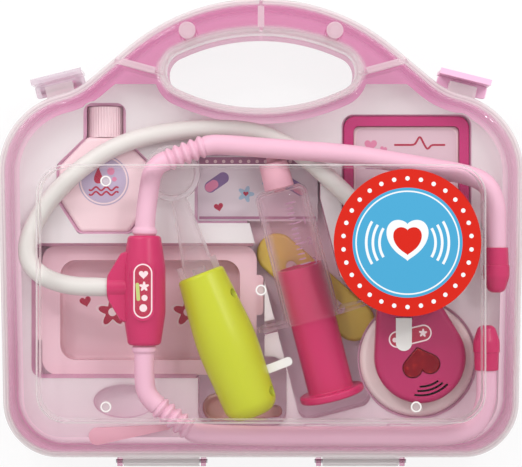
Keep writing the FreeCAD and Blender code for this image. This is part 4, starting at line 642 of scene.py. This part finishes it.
def makeArm(name, node, route, ribs):
    # radius = tube + collar exp(-(d / half)^4) by the yoke, and a swing from valley to crest for each rib
    line = splinePoints([(x, y, armSettings["level"]) for x, y in route], armSettings["resolution"]) / mm
    gone = np.r_[0, np.cumsum(np.linalg.norm(np.diff(line, axis=0), axis=1))]
    along = np.linspace(0, gone[-1], int(gone[-1] / armSettings["step"]))
    middle = np.stack([np.interp(along, gone, line[:, axis]) for axis in range(3)], axis=1)
    way = np.gradient(middle, axis=0)
    way /= np.linalg.norm(way, axis=1, keepdims=True)
    aside = np.stack([-way[:, 1], way[:, 0], np.zeros(len(way))], axis=1)
    start, end = [along[np.argmin(np.linalg.norm(middle[:, :2] - np.array(spot), axis=1))] for spot in ribs]
    share = np.clip((along - start) / (end - start), 0, 1)
    wave = 0.5 - 0.5 * np.cos(share * armSettings["ribs"] * 2 * np.pi)
    inside = (along > start) & (along < end)
    fade = np.clip(np.minimum(along - start, end - along) / armSettings["ribFade"], 0, 1)
    tube, valley = armSettings["radius"], armSettings["valley"]
    ribbed = valley + (armSettings["crest"] - valley) * wave ** armSettings["ribSharp"]
    radius = np.where(inside, tube + (ribbed - tube) * fade, tube)
    fromCollar = (along - armSettings["collarAt"]) / armSettings["collarHalf"]
    radius = radius + armSettings["collar"] * np.exp(-fromCollar ** 4)
    turn = np.linspace(0, 2 * np.pi, armSettings["sides"], endpoint=False)
    ring = (np.cos(turn)[None, :, None] * aside[:, None, :]
            + np.sin(turn)[None, :, None] * np.array([0, 0, 1.0])[None, None, :])
    points = (middle[:, None, :] + radius[:, None, None] * ring).reshape(-1, 3) * mm
    arm = meshObject(name, points, gridFaces(len(along), armSettings["sides"]), plastic["softPinkVinyl"], "case")
    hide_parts(node)


makeArm("upperArm", "upper_arm", armSettings["upper"], armSettings["upperRibs"])
makeArm("lowerArm", "lower_arm", armSettings["lower"], armSettings["lowerRibs"])
print("stethoscope ready")

# prints: thin films of ink on the toys, in millimetres


def circleLine(radius, count=40):
    # x = r cos t, y = r sin t
    turn = np.linspace(0, 2 * np.pi, count, endpoint=False)
    return radius * np.c_[np.cos(turn), np.sin(turn)]


def heartLine(size, count=48):
    # x = 16 sin^3, y = 13 cos - 5 cos 2t - 2 cos 3t - cos 4t, about 2 sizes wide
    turn = -np.linspace(0, 2 * np.pi, count, endpoint=False)
    return size / 16 * np.c_[16 * np.sin(turn) ** 3, 13 * np.cos(turn) - 5 * np.cos(2 * turn) - 2 * np.cos(3 * turn)
                             - np.cos(4 * turn)]


def capsuleLine(length, width, count=40):
    # two half circles, each moved out along the length
    turn = np.linspace(0, 2 * np.pi, count, endpoint=False) + 1e-6
    return np.c_[np.sign(np.cos(turn)) * (length - width) / 2 + width / 2 * np.cos(turn), width / 2 * np.sin(turn)]


def softSquare(length, width, power=5.0, count=60):
    # superellipse |x|^p + |y|^p = 1
    turn = np.linspace(0, 2 * np.pi, count, endpoint=False)
    bend = 2 / power
    c, s = np.cos(turn), np.sin(turn)
    return np.c_[length / 2 * np.sign(c) * np.abs(c) ** bend, width / 2 * np.sign(s) * np.abs(s) ** bend]


def flowerLine(size, petals=5, count=60):
    # radius = size (0.75 + 0.25 cos(petals t))
    turn = np.linspace(0, 2 * np.pi, count, endpoint=False)
    return (size * (0.75 + 0.25 * np.cos(petals * turn)))[:, None] * np.c_[np.cos(turn), np.sin(turn)]


def dropLine(size, count=48):
    # x = sin t sin^1.6(t/2), y = cos t, pointed at the top
    turn = np.linspace(0, 2 * np.pi, count, endpoint=False) + np.pi / count
    return size * np.c_[-np.sin(turn) * np.abs(np.sin(turn / 2)) ** 1.6 * 0.75, np.cos(turn)]


def straightLine(x0, y0, x1, y1, count=6):
    # evenly spaced points from one end to the other
    return np.linspace((x0, y0), (x1, y1), count)


def waveLine(half, high, turn, count=40):
    # y = high sin(turn x)
    x = np.linspace(-half, half, count)
    return np.c_[x, high * np.sin(turn * x)]


def pulseLine(first, last, count=60):
    # y = 15 + 4 exp(-(x - 7)^2 / 3) - 2 exp(-(x - 11)^2 / 2)
    x = np.linspace(first, last, count)
    return np.c_[x, 15 + 4 * np.exp(-(x - 7) ** 2 / 3) - 2 * np.exp(-(x - 11) ** 2 / 2)]


def digitLine(strokes, high):
    # a numeral's strokes on the syringe, where s runs to the left and t downwards
    return -high * np.array(strokes)


def moved(line, x, y, angle=0.0):
    # a line turned by an angle in degrees and then shifted
    c, s = math.cos(math.radians(angle)), math.sin(math.radians(angle))
    return line @ np.array([[c, s], [-s, c]]) + np.array([x, y])


def onFlat(x, y, level, angle=0.0):
    # the print's own s, t and height on a level face
    c, s = math.cos(math.radians(angle)), math.sin(math.radians(angle))

    def place(points):
        a, b, up = points[..., 0], points[..., 1], points[..., 2]
        return np.stack([x + c * a - s * b, y + s * a + c * b, level + up], axis=-1)
    return place


def stacked(line, place, scale, height):
    # an outline scaled about its middle, once for each height
    middle = line.mean(axis=0)
    rows = middle + (line - middle)[None] * np.array(scale)[:, None, None]
    lift = np.broadcast_to(np.array(height)[:, None, None], (*rows.shape[:2], 1))
    return place(np.concatenate([rows, lift], axis=2)).reshape(-1, 3), gridFaces(len(scale), len(line))


def stamp(line, place, film=0.05, sunk=0.05):
    # a patch of ink: its outline shrunk towards its middle, on top and underneath
    return stacked(line, place, [0.02, 1, 1, 0.75, 0.5, 0.25, 0.02], [-sunk] * 2 + [film] * 5)


def softSlab(line, place, half, edge, inset=0.95):
    # an outline carried from -half to +half, drawn in a little at both faces
    return stacked(line, place, [0.02, inset, 1, 1, inset, 0.02], [-half, -half, edge - half, half - edge, half, half])


def sideways(path, loop):
    # the unit direction to the left of a path, at each of its points
    ahead = np.roll(path, -1, axis=0) - np.roll(path, 1, axis=0) if loop else np.gradient(path, axis=0)
    ahead /= np.linalg.norm(ahead, axis=1, keepdims=True)
    return np.c_[-ahead[:, 1], ahead[:, 0]]


def carried(corners, place, loop):
    # a bar whose corners are lines beside a path, each at its own height
    rows = np.stack([np.c_[line, np.full(len(line), up)] for line, up in corners], axis=1)
    return place(rows).reshape(-1, 3), gridFaces(len(rows), len(corners), loop)


def ribbon(path, width, place, film=0.05, sunk=0.05, loop=False):
    # a line of ink: a flat bar that follows the path
    aside = sideways(path, loop) * width / 2
    corners = [(path + aside, -sunk), (path + aside, film), (path - aside, film), (path - aside, -sunk)]
    return carried(corners, place, loop)


def inked(place, shape, sizes, spot=(0, 0), film=0.05, width=None, sunk=0.05):
    # a shape moved to its spot, filled or drawn as a line of a width
    line = moved(shape(*sizes), *spot)
    if width is None:
        return stamp(line, place, film, sunk)
    return ribbon(line, width, place, film, sunk, shape not in (straightLine, waveLine, pulseLine, digitLine))


def joinParts(name, parts, material, body="case"):
    # all parts of one material are one piece
    faces, start = [], 0
    for points, quads in parts:
        faces += [[start + corner for corner in face] for face in quads]
        start += len(points)
    return meshObject(name, np.concatenate([points for points, quads in parts]) * mm, faces, material, body,
                      smooth=False)


# rounded plates that join moulded forms

plateSettings = {
    "yoke": [(-60, -6), (-70, -10), (-76.3, -20.5), (-76.3, -33.1), (-70, -43.6), (-60, -47)],
    "yokeLevel": 37.5, "yokeHalf": 4.8, "yokeEdge": 1.6,
    "clipX": 101.113, "clipY": 73.819, "clipLevel": 28.0, "clipSize": (25.6, 6.6), "clipPower": 9, "clipSlope": 14.0,
    "clipHalf": 0.9, "clipEdge": 0.4,
}


def makePlates():
    # a web between the yoke's barrel and its stub, and a web inside each clip
    line = np.array(plateSettings["yoke"], float)
    line = np.concatenate([np.linspace(a, b, 8, endpoint=False) for a, b in zip(line, np.roll(line, -1, axis=0))])
    place = onFlat(0, 0, plateSettings["yokeLevel"])
    web = softSlab(line, place, plateSettings["yokeHalf"], plateSettings["yokeEdge"])
    joinParts("yokeWeb", [web], plastic["hotPinkAbs"])
    clip = softSquare(*plateSettings["clipSize"], plateSettings["clipPower"])
    for side, name, material, slot in ((-1, "left", clear["clearPolypropylene"], "clear_clip"),
                                       (1, "right", plastic["pinkClipAbs"], "pink_clip")):
        place = onFlat(side * plateSettings["clipX"], plateSettings["clipY"], plateSettings["clipLevel"],
                       -side * plateSettings["clipSlope"])
        web = softSlab(clip, place, plateSettings["clipHalf"], plateSettings["clipEdge"])
        joinParts(name + "ClipWeb", [web], material, name + "_clip")


makePlates()

# drafted edges of the tray's pockets, and the spring under the heart


def roundedLine(corners, radius, loop=True, count=7):
    # each corner becomes a curve a(1-t)^2 + 2 b t(1-t) + c t^2 between points one radius from it
    corners = np.array(corners, float)
    inner = corners if loop else corners[1:-1]
    before = np.roll(corners, 1, axis=0) if loop else corners[:-2]
    after = np.roll(corners, -1, axis=0) if loop else corners[2:]
    back, on = before - inner, after - inner
    a = (inner + radius * back / np.linalg.norm(back, axis=1, keepdims=True))[:, None]
    c = (inner + radius * on / np.linalg.norm(on, axis=1, keepdims=True))[:, None]
    t = np.linspace(0, 1, count)[None, :, None]
    curves = (a * (1 - t) ** 2 + 2 * inner[:, None] * t * (1 - t) + c * t ** 2).reshape(-1, 2)
    return curves if loop else np.concatenate([corners[:1], curves, corners[-1:]])


skirtSettings = {
    "top": 21.9, "sheet": 0.4,
    "pockets": [  # corners, their rounding, the lower edge, the step inwards, and whether the outline closes
        ([(-66, -0.2), (-55, 16.8), (-55, 35), (-68.7, 48.3), (-68.7, 66.4), (-90.3, 66.4), (-90.3, 48.3), (-104, 35),
          (-104, 16.8), (-93, -0.2)], 3, 19.0, 1.5, True),
        ([(30.2, 30), (30.2, 41.3), (-33.8, 41.3), (-33.8, 5.3), (-7, 5.3)], 2, 11.0, 1.3, False),
        ([(-4, -4.9), (-116.7, -4.9), (-116.7, -73.5), (-33, -73.5)], 6, 14.5, 1.5, False),
        ([(41, -0.3), (107, -0.3), (107, 60.5), (41, 60.5)], 6, 19.5, 1.1, True),
    ],
    "chest": (79.5, -63.9), "chestRadius": 30.4, "chestLow": 20.0, "chestStep": 1.1,
}


def skirt(line, low, step, loop=True):
    # a sloping wall from the tray's flat at the pocket's outline down to the toy, a little further in
    inner = line + sideways(line, loop) * step
    top, sheet = skirtSettings["top"], skirtSettings["sheet"]
    return carried([(inner, low - sheet), (inner, low), (line, top), (line, top - sheet)], onFlat(0, 0, 0), loop)


def makeSkirts():
    # one sloping wall for each pocket, and a round one for the chest piece
    walls = [skirt(roundedLine(corners, bend, loop), low, step, loop)
             for corners, bend, low, step, loop in skirtSettings["pockets"]]
    circle = moved(circleLine(skirtSettings["chestRadius"], 72), *skirtSettings["chest"])
    walls.append(skirt(circle, skirtSettings["chestLow"], skirtSettings["chestStep"]))
    # painted shade: the walls take the tray's pink shade on their steep faces
    joinParts("pocketEdges", walls, trayVinyl)


makeSkirts()

domeSettings = {"x": 79.6, "y": -62.9, "keep": 0.82,
                "profile": [(0.02, 21.2), (6.3, 21.2), (3.8, 27.15), (3.8, 28.55), (0.02, 28.55)]}  # radius and height


def makeDome():
    # the heart's rubber spring, turned from foot to head
    x, y = domeSettings["x"], domeSettings["y"]
    profile, ring = np.array(domeSettings["profile"]), circleLine(1.0, 40)
    flat = profile[:, :1, None] * ring[None] + np.array([x, y])
    points = np.concatenate([flat, np.broadcast_to(profile[:, 1, None, None], (*flat.shape[:2], 1))], axis=2)
    dome = meshObject("heartSpring", points.reshape(-1, 3) * mm, gridFaces(len(profile), len(ring)),
                      plastic["siliconeRubber"], "case", smooth=False)
    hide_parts("button_dome")
    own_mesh(dome)


makeDome()
print("edges and spring ready")

# prints on the toys, the frosted pips of the clear lid, and painted highlights and painted light on the clear pieces

syringeScale = {
    "start": (9.3, 23.0, 26.6), "way": (27.2, -105.7, -6.7), "radius": 13.4, "spread": 0.8, "length": 68.0,
    "first": 8.0, "pitch": 2.6, "count": 13, "every": 4, "edge": -0.5, "tick": 3.4, "longTick": 5.4, "tickWidth": 0.6,
    "digitAt": -8.2, "digitHigh": 3.4, "digitWidth": 0.55, "film": 0.06, "sunk": 0.04,
    "digits": [  # strokes of 1, 2 and 3 in a box one high
        [(-0.15, 0.3), (0.05, 0.5), (0.05, -0.5)],
        [(-0.28, 0.28), (-0.1, 0.5), (0.18, 0.46), (0.26, 0.2), (-0.28, -0.5), (0.3, -0.5)],
        [(-0.26, 0.42), (0.1, 0.5), (0.26, 0.26), (0.0, 0.04), (0.27, -0.22), (0.1, -0.5), (-0.28, -0.4)],
    ],
}


def onBarrel():
    # s is wrapped round the barrel, t runs down it, and its radius grows evenly along its length
    way = np.array(syringeScale["way"])
    way = way / np.linalg.norm(way)
    side = np.cross(way, (0, 0, 1.0))
    side = side / np.linalg.norm(side)
    up = np.cross(side, way)

    def place(points):
        s, t, lift = points[..., 0], points[..., 1], points[..., 2]
        radius = syringeScale["radius"] + syringeScale["spread"] * t / syringeScale["length"] + lift
        turn = s / syringeScale["radius"]
        return (np.array(syringeScale["start"]) + t[..., None] * way
                + (radius * np.sin(turn))[..., None] * side + (radius * np.cos(turn))[..., None] * up)
    return place


def syringeMarks():
    # a tick at each step, a longer one for each numeral, and the numerals
    first, pitch, every, edge = (syringeScale[key] for key in ("first", "pitch", "every", "edge"))
    film, sunk = syringeScale["film"], syringeScale["sunk"]
    marks = []
    for k in range(syringeScale["count"]):
        along, end = first + k * pitch, edge - syringeScale["tick" if k % every else "longTick"]
        marks.append((straightLine, (edge, along, end, along, 8), (0, 0), film, syringeScale["tickWidth"], sunk))
    for k, strokes in enumerate(syringeScale["digits"]):
        spot = (syringeScale["digitAt"], first + (k + 1) * every * pitch)
        marks.append((digitLine, (strokes, syringeScale["digitHigh"]), spot, film, syringeScale["digitWidth"], sunk))
    return marks


thin, overprint, badge = 0.05, 0.09, 0.11  # heights of ink: on a toy, on ink, and on a badge's face
pips = [(76, 25.7), (-76, 25.7), (76, -84.9), (-76, -84.9), (0, -27.7)]
wide, tall = 100.7 - 47.3, 54.4 - 6.0  # the clipboard's card
chartRows = [(3, 6), (-2, 14), (-7, 6), (-12, 20), (-17, 9)]  # y, and the start's distance from the card's left edge
dishFlowers = [(19, -1.5, 20), (-20, -1.5, 20)]

# each face has a slot, a body and pieces; each piece has a material and marks: shape, sizes, spot, film, width, depth
prints = [
    (onFlat(0, 0, 55.2), "clear_shell", "lid", {
        # painted highlight: a white ring round each pip
        "lidPipRingHighlights": (plastic["whiteFilm"], [(circleLine, (2.3, 32), spot, 0.75, 0.7, 0.0) for spot in pips]),
        "lidPips": (clear["frostedStyrene"], [(circleLine, (1.85, 32), spot, 0.5, None, 0.0) for spot in pips]),
    }),
    # painted highlight: a pale ring on the lens rim
    (onFlat(-44.9, 30.4, 31.0), "clear_acrylic", "case", {
        "lensRimHighlight": (clear["rimHighlightClear"], [(circleLine, (12.9, 72), (0, 0), thin, 2.0)]),
    }),
    # painted light: a pale disc that brightens the lens face over the shade under it
    (onFlat(-44.9, 30.4, 30.8), "clear_acrylic", "case", {
        "lensFaceLight": (clear["lensFacePaintedLight"], [(circleLine, (10.8, 72), (0, 0), 0.02)]),
    }),
    (onFlat(0, 0, 43.7), "clear_shell", "lid", {
        # painted highlight: pale caps on the handle's ribs and pegs
        "handleRibHighlights": (clear["ribHighlightStyrene"], [
            (straightLine, (0, 102.5, 0, 113), (0, 0), thin, 3.2),
            (circleLine, (4.2, 32), (-36.7, 101.0)), (straightLine, (-72, 86.2, -52.6, 81), (0, 0), thin, 3.2),
            (circleLine, (4.2, 32), (36.7, 101.0)), (straightLine, (72, 86.2, 52.6, 81), (0, 0), thin, 3.2)]),
    }),
    (onFlat(-1.8, 23.3, 10.35), "carton", "case", {
        "boxBands": (ink["mauve"], [(straightLine, (-30, y, 30, y), (0, 0), thin, width)
                                    for y, width in ((13.8, 4.4), (-15.2, 1.4))]),
        "boxDots": (ink["cream"], [(circleLine, (0.9, 16), (x, 13.8), overprint) for x in np.arange(-26, 28, 4.3)]),
        "boxPills": (ink["plum"], [(capsuleLine, (14, 6), (-21, 3, 35)), (capsuleLine, (14, 6), (19, 1, -30))]),
        "boxPillHalves": (ink["pink"], [(capsuleLine, (7.4, 4.6), (-23.6, 1.2, 35), overprint),
                                        (capsuleLine, (7.4, 4.6), (21.7, -0.6, -30), overprint)]),
        "boxFlowers": (ink["sky"], [(flowerLine, (4.4,), (-6, -3)), (flowerLine, (3.2,), (5, 4))]),
        "boxHearts": (ink["crimson"], [(heartLine, (1.4,), (-6, -2.8), overprint),
                                       (heartLine, (1.0,), (5, 4.2), overprint),
                                       (heartLine, (2.4,), (-20, -9.6, 12))]),
    }),
    (onFlat(-80.0, 27.0, 21.6), "label_print", "case", {
        "labelRim": (ink["cream"], [(circleLine, (11.8, 72), (0, 0), thin, 0.8)]),
        "labelDrop": (ink["crimson"], [(dropLine, (4.2,), (-2.8, 2.6)),
                                       (waveLine, (7.5, 0.9, 1.2), (0, -4.2), thin, 0.9),
                                       (waveLine, (7.5, 0.9, 1.2), (0, -6.6), thin, 0.9)]),
        "labelBubbles": (ink["pink"], [(circleLine, (1.9, 24), (3.6, 4.6)), (circleLine, (1.2, 20), (5.4, 0.6))]),
    }),
    (onFlat(74.0, 30.2, 18.72), "chart_card", "case", {
        "chartEdge": (ink["cream"], [(softSquare, (wide - 1.2, tall - 1.2, 14, 120), (0, 0), thin, 1.0)]),
        "chartRows": (ink["mauve"], [(straightLine, (start - wide / 2, y, wide / 2 - 9, y), (0, 0), thin, 0.7)
                                     for y, start in chartRows]),
        "chartBoxes": (ink["crimson"], [*[(softSquare, (3.2, 3.2, 8, 32), (wide / 2 - 5, y), thin, 0.5)
                                          for y, start in chartRows], (pulseLine, (-6, 20), (0, 0), thin, 1.0)]),
        "chartHearts": (ink["pink"], [(heartLine, (3.2,), (-18, 15)), (heartLine, (1.8,), (-11.5, 12.8, -15))]),
    }),
    (onFlat(-58.3, -28.4, 48.5, 90.0), "crimson", "case", {
        "yokeBadgeRim": (ink["cream"], [(capsuleLine, (27, 9.4, 56))]),
        "yokeBadgeFace": (ink["crimson"], [(capsuleLine, (25.6, 8, 56), (0, 0), 0.08)]),
        "yokeBadgeMarks": (ink["cream"], [(heartLine, (2.3,), (8.2, -0.3, -90), badge),
                                          (flowerLine, (2.5,), (2.2, -0.6), badge),
                                          (circleLine, (1.5, 24), (-3.4, -0.8), badge),
                                          (circleLine, (1.9, 24), (-8.4, -0.2), badge)]),
        "yokeBadgeLeaf": (ink["lime"], [(capsuleLine, (9, 1.8), (-0.4, 2.5, 4), badge)]),
    }),
    (onFlat(75.0, -51.6, 32.5, 14.0), "magenta", "case", {
        "chestBadgeRim": (ink["cream"], [(capsuleLine, (22, 8.4, 56), (0, 0), 0.02)]),
        "chestBadgeFace": (ink["crimson"], [(capsuleLine, (20.6, 7, 56), (0, 0), 0.03)]),
        "chestBadgeMarks": (ink["cream"], [(flowerLine, (2.2,), (6.6, 0), 0.04),
                                           (circleLine, (1.2, 20), (-8, 0), 0.04)]),
    }),
    (onFlat(-57.0, -39.2, 4.05), "dish_pink", "case", {
        "dishMotifs": (ink["crimson"], [*[(flowerLine, (7.5,), spot) for spot in dishFlowers],
                                        (heartLine, (5.0,), (0, -1)), (heartLine, (3.0,), (-34, 4, 15))]),
        "dishEdges": (ink["cream"], [*[(circleLine, (2.2, 24), (x, y), overprint) for x, y, turn in dishFlowers],
                                     *[(flowerLine, (8.6,), spot, thin, 0.6) for spot in dishFlowers]]),
    }),
    (onBarrel(), "clear_acrylic", "case", {"syringeTicks": (ink["mauve"], syringeMarks())}),
    (onFlat(28.3, -27.8, 7.25, -41.0), "yellow", "case", {
        "thermometerCard": (ink["cream"], [(capsuleLine, (39, 5, 48))]),
        "thermometerTicks": (ink["crimson"], [
            (straightLine, (x, -1.9, x, 0.2 if k % 5 else 1.6), (0, 0), overprint, 0.45)
            for k, x in enumerate(np.linspace(-16, 16, 21))]),
    }),
]
for place, slot, body, pieces in prints:
    for name, (material, marks) in pieces.items():
        joinParts(name, [inked(place, *mark) for mark in marks], material, body)
print("prints ready")
